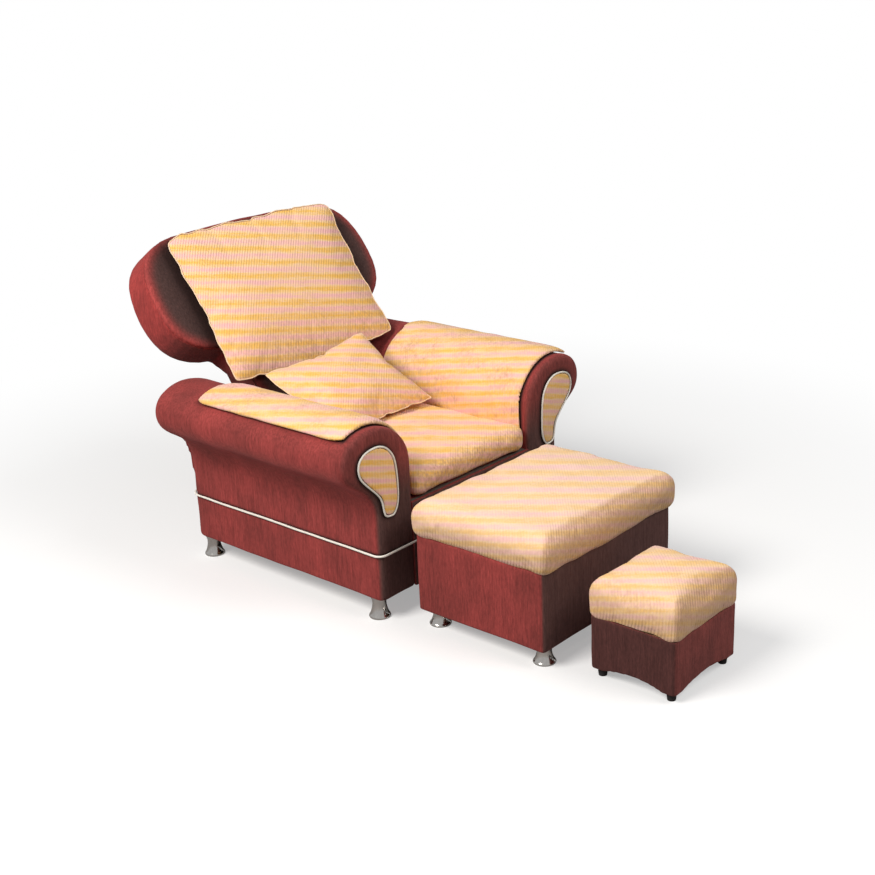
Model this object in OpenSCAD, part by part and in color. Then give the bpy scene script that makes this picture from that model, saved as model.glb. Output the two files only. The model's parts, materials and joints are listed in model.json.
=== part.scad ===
// Reflexology chair set: scroll-arm recliner with a winged back, its ottoman, a low stool and a pillow.
// Millimetres, Z up, sitter facing -Y, origin on the floor at the middle of the whole set.
// "left" and "right" are the sitter's, so the left arm is on the +X side.

/* [Chair base] */
// Width over the two upright side faces
base_w = 876; // [840:1:920]
// Depth from the front face to the rear face
base_d = 892; // [860:1:940]
// Height of the underside above the floor
underside_z = 73; // [60:1:85]
// Height of the piping line round the base
base_piping_z = 225; // [180:1:260]
// Clear width between the arms
seat_gap_w = 556; // [530:1:570]
// Thickness of frame boards
board_t = 18; // [15:1:20]

/* [Arms] */
// Height of the arm crest
arm_top_z = 636; // [625:1:650]
// Radius over the broad top of the arm
crest_r = 175; // [165:1:185]
// Radius of the outward scroll
roll_r = 80; // [72:1:88]
// Radius of the inner shoulder
shoulder_r = 123; // [115:1:130]
// Radius of the hollow under the scroll
flare_r = 120; // [100:1:135]
// Slope of the underside of the scroll
flare_slope = 35; // [30:1:40]
// Depth of the red band at the front of each arm
arm_band_d = 74; // [60:1:90]
// Padding and cloth over the arm frame
arm_cover_t = 16; // [14:1:18]
// Rounding of the arm's front edge
arm_front_r = 24; // [18:1:28]
// Rounding of the arm's rear edge
arm_rear_r = 54; // [44:1:58]
// Thickness of the pale pad on the arm
arm_pad_t = 13; // [10:1:16]
// Thickness of the pale teardrop panel
facing_t = 7; // [5:1:9]
// Diameter of all piping
piping_d = 7; // [5:0.5:8]

/* [Seat] */
// Height of the seat cushion's underside
seat_z = 352; // [345:1:360]
// Height of the seat cushion at its crown
seat_top_z = 463; // [458:1:470]
// How far the seat cushion stands in front of the base
seat_nose = 8; // [2:1:12]

/* [Backrest] */
// Lean of the backrest from upright, as stored
back_lean = 34.5; // [30:0.5:38]
// Height of the back cushion's lower edge
back_edge_z = 636; // [632:1:645]
// Distance of that edge behind the middle of the base
back_edge_y = 225; // [215:1:232]
// Gap between the back and each arm
neck_gap = 16; // [14:1:23]
// Half width of the back's wings
wing_half_w = 487; // [460:1:500]
// Length of the back above the cushion's lower edge
back_rise = 560; // [540:1:580]
// Thickness of the upholstered back
back_t = 150; // [140:1:160]
// Gap from the cushion's edge plane to the face of the back
back_face_y = 45; // [40:1:50]
// Length of the back cushion up the slope
back_cushion_l = 524; // [500:1:540]
// Width of the back cushion at its corners
back_cushion_w = 742; // [700:1:760]

/* [Recline hinges] */
// Height of the hinge pins
hinge_z = 500; // [494:1:506]
// Distance of the hinge pins behind the middle of the base
hinge_y = 245; // [242:1:250]
// Diameter of the ratchet drum
drum_d = 56; // [48:1:58]
// Diameter of the hinge pin
hinge_pin_d = 12; // [10:1:14]
// Steel plate of the hinge arms
hinge_plate_t = 4; // [3:0.5:5]

/* [Lumbar pillow] */
// Width of the pillow
pillow_w = 480; // [440:1:500]
// Length of the pillow up its slope
pillow_l = 356; // [330:1:370]
// Full thickness of the pillow
pillow_t = 112; // [90:1:120]
// Slope of the pillow from level
pillow_slope = 33; // [31:1:36]
// Turn of the pillow in its own plane
pillow_turn = 5; // [0:1:6]

/* [Ottoman] */
// Width of the ottoman box
ottoman_w = 622; // [580:1:660]
// Depth of the ottoman box
ottoman_d = 478; // [450:1:500]
// Height of the ottoman box's underside
ottoman_z = 57; // [50:1:65]
// Height of the seam under its cushion
ottoman_seam_z = 300; // [280:1:320]
// Height of its cushion at the crown
ottoman_top_z = 434; // [415:1:445]
// Sideways place of its middle
ottoman_x = -58; // [-120:1:0]
// Gap from the chair's front face to the ottoman box
ottoman_gap = 89; // [80:1:140]

/* [Stool] */
// Width of the stool box
stool_w = 312; // [290:1:340]
// Depth of the stool box
stool_d = 279; // [260:1:300]
// Height of the stool's lower hem
stool_z = 25; // [20:1:30]
// Height of the seam under its cushion
stool_seam_z = 184; // [170:1:200]
// Height of its cushion at the crown
stool_top_z = 326; // [310:1:340]
// Sideways place of its middle
stool_x = -154; // [-220:1:-60]
// Gap from the ottoman box to the stool box
stool_gap = 110; // [100:1:160]

/* [Feet] */
// Diameter of the chrome foot at the floor
foot_base_d = 68; // [60:1:76]
// Diameter of the chrome foot at its waist
foot_waist_d = 40; // [36:1:46]
// Diameter of the chrome foot at its top plate
foot_top_d = 54; // [48:1:60]
// Diameter of the threaded studs
stud_d = 8; // [6:1:10]
// Diameter of the stool's plain feet
stool_foot_d = 30; // [24:1:34]

/* [Hidden] */

$fn = 48;
// Cuts run past the face that they open by this much
over = 1;
// Gap between wooden boards and the padding round them
wood_fit = 0.5;
// Gap between soft pieces that lie on each other
cloth_gap = 0.3;
// Radial running clearance of pins and studs
pin_clear = 0.05;

// Colours, as the photograph shows them
red = "#93383a";
red_deep = "#6d2c2d";
cream = "#f3cd92";
white = "#f4efe6";
wood = "#c9a36a";
steel = "#8b8f94";
chrome = "#d6d9dc";
black = "#2b2726";
felt = "#9a958c";

// Base, worked out from the driving sizes
half_w = base_w / 2;
inner_x = seat_gap_w / 2;
front_y = -base_d / 2;
rear_y = base_d / 2;

// Arm scroll, as a chain of arcs that meet in line
arm_w = half_w - inner_x;
// Most that the arm's width lets the crest and the shoulder round
crest_most_share = 1.2;
shoulder_most_share = 0.83;
crest_fit_r = min(crest_r, arm_w * crest_most_share);
shoulder_fit_r = min(shoulder_r, arm_w * shoulder_most_share);
crest_turn = 60;
crest_out_share = 0.012;
crest_c = [half_w + base_w * crest_out_share / 2, arm_top_z - crest_fit_r];
roll_c = crest_c + (crest_fit_r - roll_r) * unit(crest_turn);
// A wider arm than the arcs can span gets a flat along its crest
inner_turn_most = 150;
crest_flat = max(0, crest_c[0] + (crest_fit_r - shoulder_fit_r) * cos(inner_turn_most) - inner_x - shoulder_fit_r);
inner_turn = acos((inner_x + shoulder_fit_r + crest_flat - crest_c[0]) / (crest_fit_r - shoulder_fit_r));
shoulder_c = crest_c + (crest_fit_r - shoulder_fit_r) * unit(inner_turn) - [crest_flat, 0];
flare_turn = 90 - flare_slope;
roll_low = roll_c + roll_r * unit(-flare_turn);
flare_end_x = half_w + flare_r * (1 - cos(flare_turn));
flare_drop = (roll_low[0] - flare_end_x) * tan(flare_slope);
flare_c = [half_w + flare_r, roll_low[1] - flare_drop - flare_r * sin(flare_turn)];
arm_profile = concat(
    [[inner_x, underside_z], [half_w, underside_z]],
    arc(flare_c, flare_r, 180, 180 - flare_turn, 7),
    arc(roll_c, roll_r, -flare_turn, crest_turn, 12),
    [for (p = tail(arc(crest_c, crest_fit_r, crest_turn, inner_turn, 9))) p[0] < crest_c[0] ? p - [crest_flat, 0] : p],
    tail(arc(shoulder_c, shoulder_fit_r, inner_turn, 180, 5))
);
// The pad covers the profile from this point to the end, and on down the inner wall
pad_first = 2 + 8 + 10;
pad_rear_d = 35;
pad_rear_y = hinge_y - pad_rear_d;
pad_tuck_h = 63;
pad_low_z = seat_top_z - pad_tuck_h;
arm_pad_low_t = 6;

// Arm cavity and frame
cover_end_t = 30;
cavity_front_y = front_y + cover_end_t;
cavity_rear_y = rear_y - cover_end_t;
inner_board_x = inner_x + arm_cover_t + wood_fit;
outer_board_x = half_w - arm_cover_t - wood_fit;
floor_board_z = underside_z + board_t;
top_rail_w = 60;
side_rail_h = 100;
hinge_post_w = 60;
hinge_post_rise = 48;
hinge_post_top_z = hinge_z + hinge_post_rise;

// Seat box between the arms
border_t = 12;
rail_fit_x = inner_x - cloth_gap;
front_board_y = front_y + border_t;
rear_board_y = rear_y - border_t;
seat_side_rail_t = 22;
seat_rail_to_hinge = 75;
seat_rear_y = hinge_y - seat_rail_to_hinge;
rail_lift = 17;
rail_low_z = underside_z + rail_lift;
deck_t = 4;
spring_d = 4;
spring_pitch = 88;
spring_loop = 52;
spring_count = 5;
// Pitch of the spring's bars as a share of its wire
spring_loop_share = 7;
clip_t = 1.5;
clip_w = 24;
clip_l = 14;
deck_z = seat_z - deck_t - cloth_gap;
spring_z = deck_z - clip_t - 2 * cloth_gap - spring_d;
rail_top_z = spring_z - cloth_gap - clip_t;
rear_panel_top_z = 400;
dust_t = 2;
block_leg = 70;
block_h = 60;

// Seat cushion
// Room between the seat cushion and the pads beside it
seat_side_gap = 1;
seat_edge_to_hinge = 57;
seat_half_w = inner_x - arm_pad_low_t - seat_side_gap;
seat_rear_edge_y = hinge_y - seat_edge_to_hinge;
seat_front_edge_y = front_y - seat_nose;
seat_corner_r = 34;
seat_edge_r = 30;
seat_crown = 16;
// How far the long sides of a cushion are drawn in
seat_draw = 4;
box_draw = 3;

// Backrest, in its own frame: x across, y to the rear, z up the slope from the cushion's lower edge
hinge_dy = hinge_y - back_edge_y;
hinge_dz = hinge_z - back_edge_z;
hinge_by = hinge_dy * cos(back_lean) - hinge_dz * sin(back_lean);
hinge_bz = hinge_dy * sin(back_lean) + hinge_dz * cos(back_lean);
neck_half_w = inner_x - neck_gap;
bottom_r = hinge_by - back_face_y;
// Two rounded faces that meet in line cross by this much
blend = 0.2;
back_low_bz = hinge_bz - bottom_r;
back_rear_y = back_face_y + back_t;
wing_low_bz = 134;
// Outline of the back's right half: heights as shares of the rise, widths as shares of the wing
wing_mid_share = 0.583;
wing_side_shares = [[0.82, 0.0], [1.0, 0.25]];
wing_top_shares = [[1.0, 0.87], [0.88, 0.99]];
top_flat_share = 0.51;
top_flat_rise_share = 0.99;
back_half = concat(
    [[neck_half_w, back_low_bz]],
    bezier([neck_half_w, wing_low_bz], [wing_half_w * wing_side_shares[0][0], wing_low_bz],
        [wing_half_w, back_rise * (wing_side_shares[1][1] + 0.09)],
        [wing_half_w, back_rise * wing_mid_share], 9),
    bezier([wing_half_w, back_rise * wing_mid_share],
        [wing_half_w, back_rise * wing_top_shares[0][1]],
        [wing_half_w * wing_top_shares[1][0], back_rise * wing_top_shares[1][1]],
        [wing_half_w * top_flat_share, back_rise * top_flat_rise_share], 9),
    [[wing_half_w * top_flat_share, back_rise * top_flat_rise_share],
        [wing_half_w * top_flat_share / 2, back_rise * (3 + top_flat_rise_share) / 4]]
);
back_outline = concat(back_half, [[0, back_rise]], [for (i = [len(back_half) - 1:-1:0]) [-back_half[i][0], back_half[i][1]]]);
// Cushion of the back: its seam plane, its fullness before and behind, its drawn sides and blunt tips
back_seam_y = 8;
back_puff = 38;
back_full = 60;
back_draw = 15;
back_blunt = 12;
back_cells = 16;
knife_edge_t = 5;
back_front_r = 11;
back_rear_r = 34;
back_front_d = 13;
back_split_y = back_face_y + back_front_d;
back_cover_t = 16;
back_wall_t = 12;
cavity_floor_t = 30;
cavity_low_bz = back_low_bz + cavity_floor_t;
stile_out_x = neck_half_w - back_cover_t;
stile_w = 28;
stile_d = 70;
stile_in = 5;
stile_y = back_split_y + stile_in;
stile_top_share = 0.9;
stile_top_bz = back_rise * stile_top_share;
rail_d = 28;
rail_h = 60;
wing_board_in = 30;
wing_board_y = stile_y + wing_board_in;
rail_in = 12;
rail_rise = 10;
middle_rail_share = 0.35;
web_t = 2;
web_w = 50;
web_count = 5;
web_margin = 2;
web_first_share = 0.06;
web_pitch_share = 0.17;

// Hinge, across the gap between the back's side and the arm's inner face
plate_out_x = inner_x - cloth_gap;
plate_in_x = plate_out_x - hinge_plate_t;
drum_gap = 3.5;
drum_out_x = plate_in_x - drum_gap;
drum_in_x = stile_out_x + hinge_plate_t;
hinge_arm_w = 30;
fixed_arm_l = 120;
moving_arm_l = 160;
screw_d = 6;
screw_head_t = 2;
drum_step = 2;
rivet_head_d = 18;
rivet_head_t = 2.5;
pocket_clear = 4;
// Ratchet wheel on the drum, and the sprung pawl on the fixed plate, drawn lifted clear of the teeth
wheel_t = 6;
wheel_in_x = drum_out_x - wheel_t;
ratchet_teeth = 18;
tooth_h = 4.5;
tooth_undercut = 1.5;
pawl_tip_r = 1.6;
pawl_lift = 0.5;
pawl_tip_turn = -112;
pawl_pivot = [7, -42];
pawl_hub_r = 6.5;
pawl_pin_r = 5;
pawl_pin_head_t = 1.2;
leaf_post = [-10, -62];
leaf_end = [1, -46];
leaf_post_r = 2.5;
leaf_t = 1.2;
leaf_w = 3;

// Lumbar pillow
pillow_x = -35;
pillow_y = 52;
pillow_front_t = 62;
pillow_draw = 16;
pillow_blunt = 6;
pillow_cells = 14;
// Lift that leaves the pillow just clear of the seat cushion
pillow_lift = 3.1;
pillow_z = seat_top_z + pillow_l * sin(pillow_slope) / 2 + pillow_lift;

// Ottoman and stool places
ottoman_y = front_y - ottoman_gap - ottoman_d / 2;
stool_y = ottoman_y - ottoman_d / 2 - stool_gap - stool_d / 2;
box_cover_t = 8;
box_board_t = 15;
box_corner_r = 12;
// How far the cushions stand out past the boxes, with their rounded corners, edges and crowns
ottoman_proud = 19;
ottoman_corner_r = 32;
ottoman_edge_r = 46;
ottoman_crown = 20;
stool_proud = 14;
stool_corner_r = 30;
stool_edge_r = 44;
stool_crown = 17;
ottoman_foot_in = [45, 40];
stool_foot_in = 26;
stool_arch = 16;
stool_board_t = 12;

// Feet
foot_in = [38, 54];
foot_x = half_w - foot_in[0];
foot_y = rear_y - foot_in[1];
foot_rim_h = 7;
foot_plate_h = 5;
stud_in_foot = 25;
stud_grip = 14;

// Middle of the whole set in Y, which is moved to the origin
set_rear_y = back_edge_y + back_rise * sin(back_lean) + (back_rear_y - back_rear_r / 2) * cos(back_lean);
set_front_y = stool_y - stool_d / 2 - stool_proud;
set_mid_y = (set_rear_y + set_front_y) / 2;

// Small maths
function unit(a) = [cos(a), sin(a)];
function arc(c, r, a0, a1, n) = [for (i = [0:n]) c + r * unit(a0 + (a1 - a0) * i / n)];
function tail(list) = [for (i = [1:len(list) - 1]) list[i]];
function bezier(a, b, c, d, n) = [for (i = [0:n - 1]) let (t = i / n, s = 1 - t)
    a * pow(s, 3) + b * 3 * s * s * t + c * 3 * s * t * t + d * pow(t, 3)];
function normal(a, b) = let (d = (b - a) / norm(b - a)) [d[1], -d[0]];
// Moves each point of a closed anticlockwise outline inwards by d
function inset(pts, d) = let (n = len(pts)) [for (i = [0:n - 1])
    let (a = normal(pts[(i + n - 1) % n], pts[i]), b = normal(pts[i], pts[(i + 1) % n]))
        pts[i] - d * (a + b) / (1 + a * b)];
// Same, with the first two points kept at a given height so that a lower edge stays level
function inset_flat(pts, d, z) = let (q = inset(pts, d)) [for (i = [0:len(q) - 1])
    i < 2 ? [q[i][0], z] : q[i]];
function at_y(pts, y) = [for (p = pts) [p[0], y, p[1]]];
function at_z(pts, z) = [for (p = pts) [p[0], p[1], z]];
// Rounded rectangle with the same number of points for any size
function rounded(hx, hy, r, k, m) = [for (q = [0:3])
    let (sx = [1, -1, -1, 1][q], sy = [1, 1, -1, -1][q], c = [sx * (hx - r), sy * (hy - r)])
        let (nx = [-1, -1, 1, 1][q] * (hx - r), ny = [1, -1, -1, 1][q] * (hy - r))
            each concat(arc(c, r, 90 * q, 90 * q + 90, k),
                let (a = c + r * unit(90 * q + 90), b = [nx, ny] + r * unit(90 * q + 90))
                    [for (i = [1:m]) a + (b - a) * i / (m + 1)])];
// Draws the sides in between the corners
function drawn(pts, hx, hy, pull) = [for (p = pts)
    [p[0] - sign(p[0]) * pull * (1 - pow(p[1] / hy, 2)), p[1] - sign(p[1]) * pull * (1 - pow(p[0] / hx, 2))]];

// Solid through a row of rings, each with the same number of points. Rings that run anticlockwise
// round Y are given first to last along +Y; flip is for rings anticlockwise round Z along +Z.
module loft(rings, flip = false) {
    n = len(rings[0]);
    m = len(rings);
    sides = [for (j = [0:m - 2], i = [0:n - 1])
        let (a = j * n + i, b = j * n + (i + 1) % n, c = (j + 1) * n + (i + 1) % n, d = (j + 1) * n + i)
            each flip ? [[a, c, b], [a, d, c]] : [[a, b, c], [a, c, d]]];
    low = [for (i = [0:n - 1]) i];
    high = [for (i = [0:n - 1]) (m - 1) * n + i];
    caps = flip ? [low, turned(high)] : [turned(low), high];
    polyhedron([for (r = rings) each r], concat(sides, caps));
}
function turned(list) = [for (i = [len(list) - 1:-1:0]) list[i]];

// Solid between an upper and a lower grid of points
module slab(top, bottom) {
    m = len(top) - 1;
    n = len(top[0]) - 1;
    k = (m + 1) * (n + 1);
    faces = concat(
        [for (i = [0:m - 1], j = [0:n - 1])
            let (a = i * (n + 1) + j, b = a + n + 1, c = b + 1, d = a + 1)
                each [[a, d, c], [a, c, b], [k + a, k + b, k + c], [k + a, k + c, k + d]]],
        [for (i = [0:m - 1]) let (a = i * (n + 1), b = a + n + 1)
            each [[a, b, k + b], [a, k + b, k + a]]],
        [for (i = [0:m - 1]) let (a = i * (n + 1) + n, b = a + n + 1)
            each [[a, k + a, k + b], [a, k + b, b]]],
        [for (j = [0:n - 1]) let (a = j, d = j + 1)
            each [[a, k + a, k + d], [a, k + d, d]]],
        [for (j = [0:n - 1]) let (a = m * (n + 1) + j, d = a + 1)
            each [[a, d, k + d], [a, k + d, k + a]]]
    );
    polyhedron(concat([for (r = top) each r], [for (r = bottom) each r]), faces);
}

// Closed tube along a flat outline that lies at one y
module flat_tube(pts, y, r, sides) {
    n = len(pts);
    rings = [for (i = [0:n - 1])
        let (a = normal(pts[(i + n - 1) % n], pts[i]), b = normal(pts[i], pts[(i + 1) % n]))
            let (out = (a + b) / norm(a + b))
                [for (s = [0:sides - 1]) let (q = 360 * s / sides)
                    [pts[i][0] + r * cos(q) * out[0], y - r * sin(q), pts[i][1] + r * cos(q) * out[1]]]];
    faces = [for (i = [0:n - 1], s = [0:sides - 1])
        let (a = i * sides + s, b = i * sides + (s + 1) % sides)
            let (c = ((i + 1) % n) * sides + (s + 1) % sides, d = ((i + 1) % n) * sides + s)
                each [[a, b, c], [a, c, d]]];
    polyhedron([for (r = rings) each r], faces);
}

// Boxed cushion: flat underside, upright border with a soft bulge, rounded edge and a crowned top
module boxed_cushion(hx, hy, low_z, top_z, corner_r, edge_r, crown, pull) {
    border_z = top_z - crown - edge_r;
    corner_share = 0.3;
    side = [[low_z, edge_r * 0.3], [low_z + edge_r * 0.35, 0], [border_z, 0],
        [border_z + edge_r * 0.5, edge_r * 0.14], [border_z + edge_r * 0.86, edge_r * 0.5],
        [top_z - crown, edge_r]];
    rings = [for (s = side)
        at_z(drawn(rounded(hx - s[1], hy - s[1], corner_r - s[1] * corner_share, 5, 3), hx, hy, pull), s[0])];
    edge = drawn(rounded(hx - edge_r, hy - edge_r, corner_r - edge_r * corner_share, 5, 3), hx, hy, pull);
    wx = hx - edge_r;
    wy = hy - edge_r;
    function dome(p) = (1 - pow(p[0] / wx, 2)) * (1 - pow(p[1] / wy, 2));
    crowns = [for (k = [0.86, 0.66, 0.44]) [for (p = edge * k) [p[0], p[1], top_z - crown + crown * dome(p)]]];
    loft(concat(rings, crowns, [at_z(edge * 0.2, top_z)]), flip = true);
}

// Knife-edged cushion in its own frame: x across, z along, front towards -Y, back flattened at flat_y
module knife_cushion(w, l, front_t, rear_t, flat_y, edge_t, pull, blunt, cells) {
    function fall(u) = pow(max(0, 1 - pow(abs(u), 2.6)), 0.62);
    function puff(u, v) = fall(u) * fall(v);
    function tip(u, v) = blunt * pow(abs(u * v), 9);
    function place(u, v) = [u * (w / 2 - pull * (1 - v * v) - tip(u, v)), v * (l / 2 - pull * (1 - u * u) - tip(u, v))];
    function even(i) = let (t = 2 * i / cells - 1) sin(90 * t);
    top = [for (i = [0:cells]) [for (j = [0:cells])
        let (u = even(i), v = even(j), p = place(u, v)) [p[0], -edge_t / 2 - front_t * puff(u, v), p[1]]]];
    bottom = [for (i = [0:cells]) [for (j = [0:cells])
        let (u = even(i), v = even(j), p = place(u, v))
            [p[0], min(flat_y, edge_t / 2 + rear_t * puff(u, v)), p[1]]]];
    slab(top, bottom);
}

// Frames of reference
module in_set() {
    translate([0, -set_mid_y, 0]) children();
}
module on_back() {
    in_set() translate([0, back_edge_y, back_edge_z]) rotate([-back_lean, 0, 0]) children();
}
module side(s) {
    if (s > 0) children();
    else mirror([1, 0, 0]) children();
}
module both_sides() {
    for (s = [1, -1]) side(s) children();
}
// Extrudes an outline drawn in x and z from y0 to y1
module along_y(y0, y1) {
    translate([0, y1, 0]) rotate([90, 0, 0]) linear_extrude(y1 - y0) children();
}
// Extrudes an outline drawn in y and z from x0 to x1
module along_x(x0, x1) {
    translate([x0, 0, 0]) rotate([90, 0, 90]) linear_extrude(x1 - x0) children();
}
module block(lo, hi) {
    translate(lo) cube(hi - lo);
}

// Seat box
module front_rail() color(wood) in_set()
    block([-rail_fit_x, front_board_y, rail_low_z], [rail_fit_x, front_board_y + board_t, rail_top_z]);

module rear_rail() color(wood) in_set()
    block([-rail_fit_x, rear_board_y - board_t, rail_low_z], [rail_fit_x, rear_board_y, rear_panel_top_z - border_t]);

module seat_rear_rail() color(wood) in_set()
    block([-rail_fit_x + seat_side_rail_t, seat_rear_y, rail_top_z - side_rail_h],
        [rail_fit_x - seat_side_rail_t, seat_rear_y + board_t, rail_top_z]);

module seat_side_rails() color(wood) in_set() both_sides()
    block([rail_fit_x - seat_side_rail_t, front_board_y + board_t, rail_top_z - side_rail_h],
        [rail_fit_x, rear_board_y - board_t, rail_top_z]);

module corner_blocks() color(wood) in_set() both_sides() for (f = [0, 1]) mirror([0, f, 0])
    translate([rail_fit_x - seat_side_rail_t, front_board_y + board_t, rail_top_z - side_rail_h - block_h])
        translate([seat_side_rail_t, 0, 0]) linear_extrude(block_h)
            polygon([[0, 0], [0, block_leg], [-block_leg, 0]]);

// One zigzag spring as a flat wire path between the rails
module spring_wire(l) {
    loops = floor(l / (spring_d * spring_loop_share));
    step = l / loops;
    for (i = [0:loops - 1]) translate([0, step * (i + 0.5)]) {
        square([spring_loop, spring_d], center = true);
        if (i < loops - 1) translate([(i % 2 == 0 ? 1 : -1) * spring_loop / 2, step / 2]) intersection() {
            difference() {
                circle(d = step + spring_d);
                circle(d = step - spring_d);
            }
            translate([i % 2 == 0 ? 0 : -step, -step]) square([step, 2 * step]);
        }
    }
    for (y = [-spring_d, l - step / 2]) translate([-spring_d / 2, y]) square([spring_d, step / 2 + spring_d]);
}
module seat_springs() color(steel) in_set() for (i = [0:spring_count - 1])
    translate([(i - (spring_count - 1) / 2) * spring_pitch, front_board_y + board_t / 2, spring_z])
        linear_extrude(spring_d) spring_wire(seat_rear_y - front_board_y);

module spring_clips() color(steel) in_set() for (i = [0:spring_count - 1]) {
    x = (i - (spring_count - 1) / 2) * spring_pitch;
    translate([x, front_board_y + board_t / 2, rail_top_z]) clip();
    translate([x, seat_rear_y + board_t / 2, rail_top_z]) mirror([0, 1, 0]) clip();
}
// Strip bent round the spring's end, open towards the seat
module clip() {
    h = spring_d + 2 * clip_t + 2 * cloth_gap;
    difference() {
        translate([-clip_w / 2, -clip_l / 2, 0]) cube([clip_w, clip_l, h]);
        translate([-clip_w / 2 - over, -clip_l / 2 + clip_t, clip_t])
            cube([clip_w + 2 * over, clip_l, h - 2 * clip_t]);
    }
}

module seat_deck() color(felt) in_set()
    block([-rail_fit_x, front_board_y, deck_z], [rail_fit_x, seat_rear_y + board_t, deck_z + deck_t]);

module dust_cover() color(black) in_set()
    block([-rail_fit_x, front_board_y, rail_low_z - dust_t], [rail_fit_x, rear_board_y, rail_low_z]);

module border(y0, top) {
    block([-rail_fit_x, y0, underside_z], [rail_fit_x, y0 + border_t, top - border_t / 2]);
    translate([-rail_fit_x, y0 + border_t / 2, top - border_t / 2])
        rotate([0, 90, 0]) cylinder(d = border_t, h = 2 * rail_fit_x);
}
module front_border() color(red_deep) in_set() border(front_y, seat_z - cloth_gap);
module rear_panel() color(red_deep) in_set() border(rear_y - border_t, rear_panel_top_z);

// Arms
// Fall of the crest over half the top rail's width, as a share of its radius
crest_sag_share = 0.04;
module arm_frame(s) color(wood) in_set() side(s) {
    outline = inset_flat(arm_profile, arm_cover_t + wood_fit, floor_board_z);
    y0 = cavity_front_y + wood_fit;
    y1 = cavity_rear_y - wood_fit;
    along_y(y0, y0 + board_t) polygon(outline);
    along_y(y1 - board_t, y1) polygon(outline);
    rail_top = arm_top_z - arm_cover_t - crest_fit_r * crest_sag_share;
    block([crest_c[0] - top_rail_w / 2, y0 + board_t, rail_top - board_t],
        [crest_c[0] + top_rail_w / 2, y1 - board_t, rail_top]);
    block([outer_board_x - board_t, y0 + board_t, floor_board_z + side_rail_h],
        [outer_board_x, y1 - board_t, floor_board_z + 2 * side_rail_h]);
    block([inner_board_x + board_t, y0 + board_t, rail_top_z - side_rail_h],
        [inner_board_x + 2 * board_t, y1 - board_t, rail_top_z]);
    along_y(hinge_y - hinge_post_w / 2, hinge_y + hinge_post_w / 2) intersection() {
        polygon(outline);
        translate([inner_board_x, floor_board_z]) square([board_t, hinge_post_top_z - floor_board_z]);
    }
}

module base_board(s) color(wood) in_set() side(s) difference() {
    block([inner_board_x, cavity_front_y + wood_fit, underside_z],
        [outer_board_x, cavity_rear_y - wood_fit, floor_board_z]);
    for (y = [-foot_y, foot_y]) translate([foot_x, y, underside_z - over])
        cylinder(d = stud_d + 2 * pin_clear, h = board_t + 2 * over);
}

module arm_cover(s) color(red) in_set() side(s) difference() {
    loft(concat(
        [for (a = [0:22.5:90])
            at_y(inset_flat(arm_profile, arm_front_r * (1 - sin(a)), underside_z), front_y + arm_front_r * (1 - cos(a)))],
        [for (a = [90:-22.5:0])
            at_y(inset_flat(arm_profile, arm_rear_r * (1 - sin(a)), underside_z), rear_y - arm_rear_r * (1 - cos(a)))]
    ));
    along_y(cavity_front_y, cavity_rear_y) polygon(inset_flat(arm_profile, arm_cover_t, underside_z - over));
}

// Pale pad over the crest and down the inner wall, thick on top and thin by the seat
pad_path = concat([for (i = [pad_first:len(arm_profile) - 1]) arm_profile[i]],
    [for (k = [1:3]) [inner_x, shoulder_c[1] + (pad_low_z - shoulder_c[1]) * k / 3]]);
pad_rows = 7;
function pad_y(j) = let (a = front_y + arm_band_d + cloth_gap, t = j / pad_rows)
    a + (pad_rear_y - a) * (0.5 - 0.5 * cos(180 * t));
function pad_thick(i, j) = let (m = len(pad_path) - 1, z = pad_path[i][1])
    let (high = clamp((z - seat_top_z) / (arm_top_z - seat_top_z)))
        let (full = arm_pad_low_t + (arm_pad_t - arm_pad_low_t) * high)
            let (e = min(clamp(i / 1.5), clamp((pad_rows - j) / 0.9), clamp(j / 0.9)))
                full * (0.35 + 0.65 * sqrt(e));
function clamp(x) = max(0, min(1, x));
function path_normal(i) = let (m = len(pad_path) - 1)
    let (a = normal(pad_path[max(0, i - 1)], pad_path[max(1, i)]))
        let (b = normal(pad_path[min(m - 1, i)], pad_path[min(m, i + 1)])) (a + b) / norm(a + b);
function pad_point(i, j, h) = let (p = pad_path[i] + h * path_normal(i)) [p[0], pad_y(j), p[1]];
module arm_pad(s) color(cream) in_set() side(s) {
    m = len(pad_path) - 1;
    slab([for (j = [0:pad_rows]) [for (i = [0:m]) pad_point(i, j, cloth_gap + pad_thick(i, j))]],
        [for (j = [0:pad_rows]) [for (i = [0:m]) pad_point(i, j, cloth_gap)]]);
}

// Teardrop panel on the arm's front: places as shares of the panel's box
facing_side_w = 75;
facing_scroll_w = 64;
facing_top_h = 64;
facing_low_z = 348;
facing_x = inner_x + facing_side_w;
facing_w = roll_c[0] + roll_r - facing_scroll_w - facing_x;
facing_h = arm_top_z - facing_top_h - facing_low_z;
facing_shares = [
    [0.15, 0.0], [0.03, 0.06], [0.0, 0.20], [0.01, 0.40],
    [0.02, 0.62], [0.04, 0.78], [0.15, 0.86],
    [0.27, 0.97], [0.42, 1.0], [0.56, 1.0],
    [0.82, 1.0], [1.0, 0.93], [1.0, 0.80],
    [1.0, 0.66], [0.86, 0.60], [0.74, 0.50],
    [0.56, 0.36], [0.44, 0.16], [0.36, 0.04],
    [0.33, 0.0], [0.24, 0.0], [0.15, 0.0]
];
facing_points = [for (p = facing_shares) [facing_x + facing_w * p[0], facing_low_z + facing_h * p[1]]];
facing_outline = turned([for (k = [0:3:18])
    each bezier(facing_points[k], facing_points[k + 1], facing_points[k + 2], facing_points[k + 3], 5)]);
module facing(s) color(cream) in_set() side(s) loft([
    at_y(inset(facing_outline, facing_t), front_y - facing_t),
    at_y(inset(facing_outline, facing_t * 0.3), front_y - facing_t * 0.7),
    at_y(facing_outline, front_y - facing_t * 0.2),
    at_y(facing_outline, front_y - cloth_gap)
]);

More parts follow.
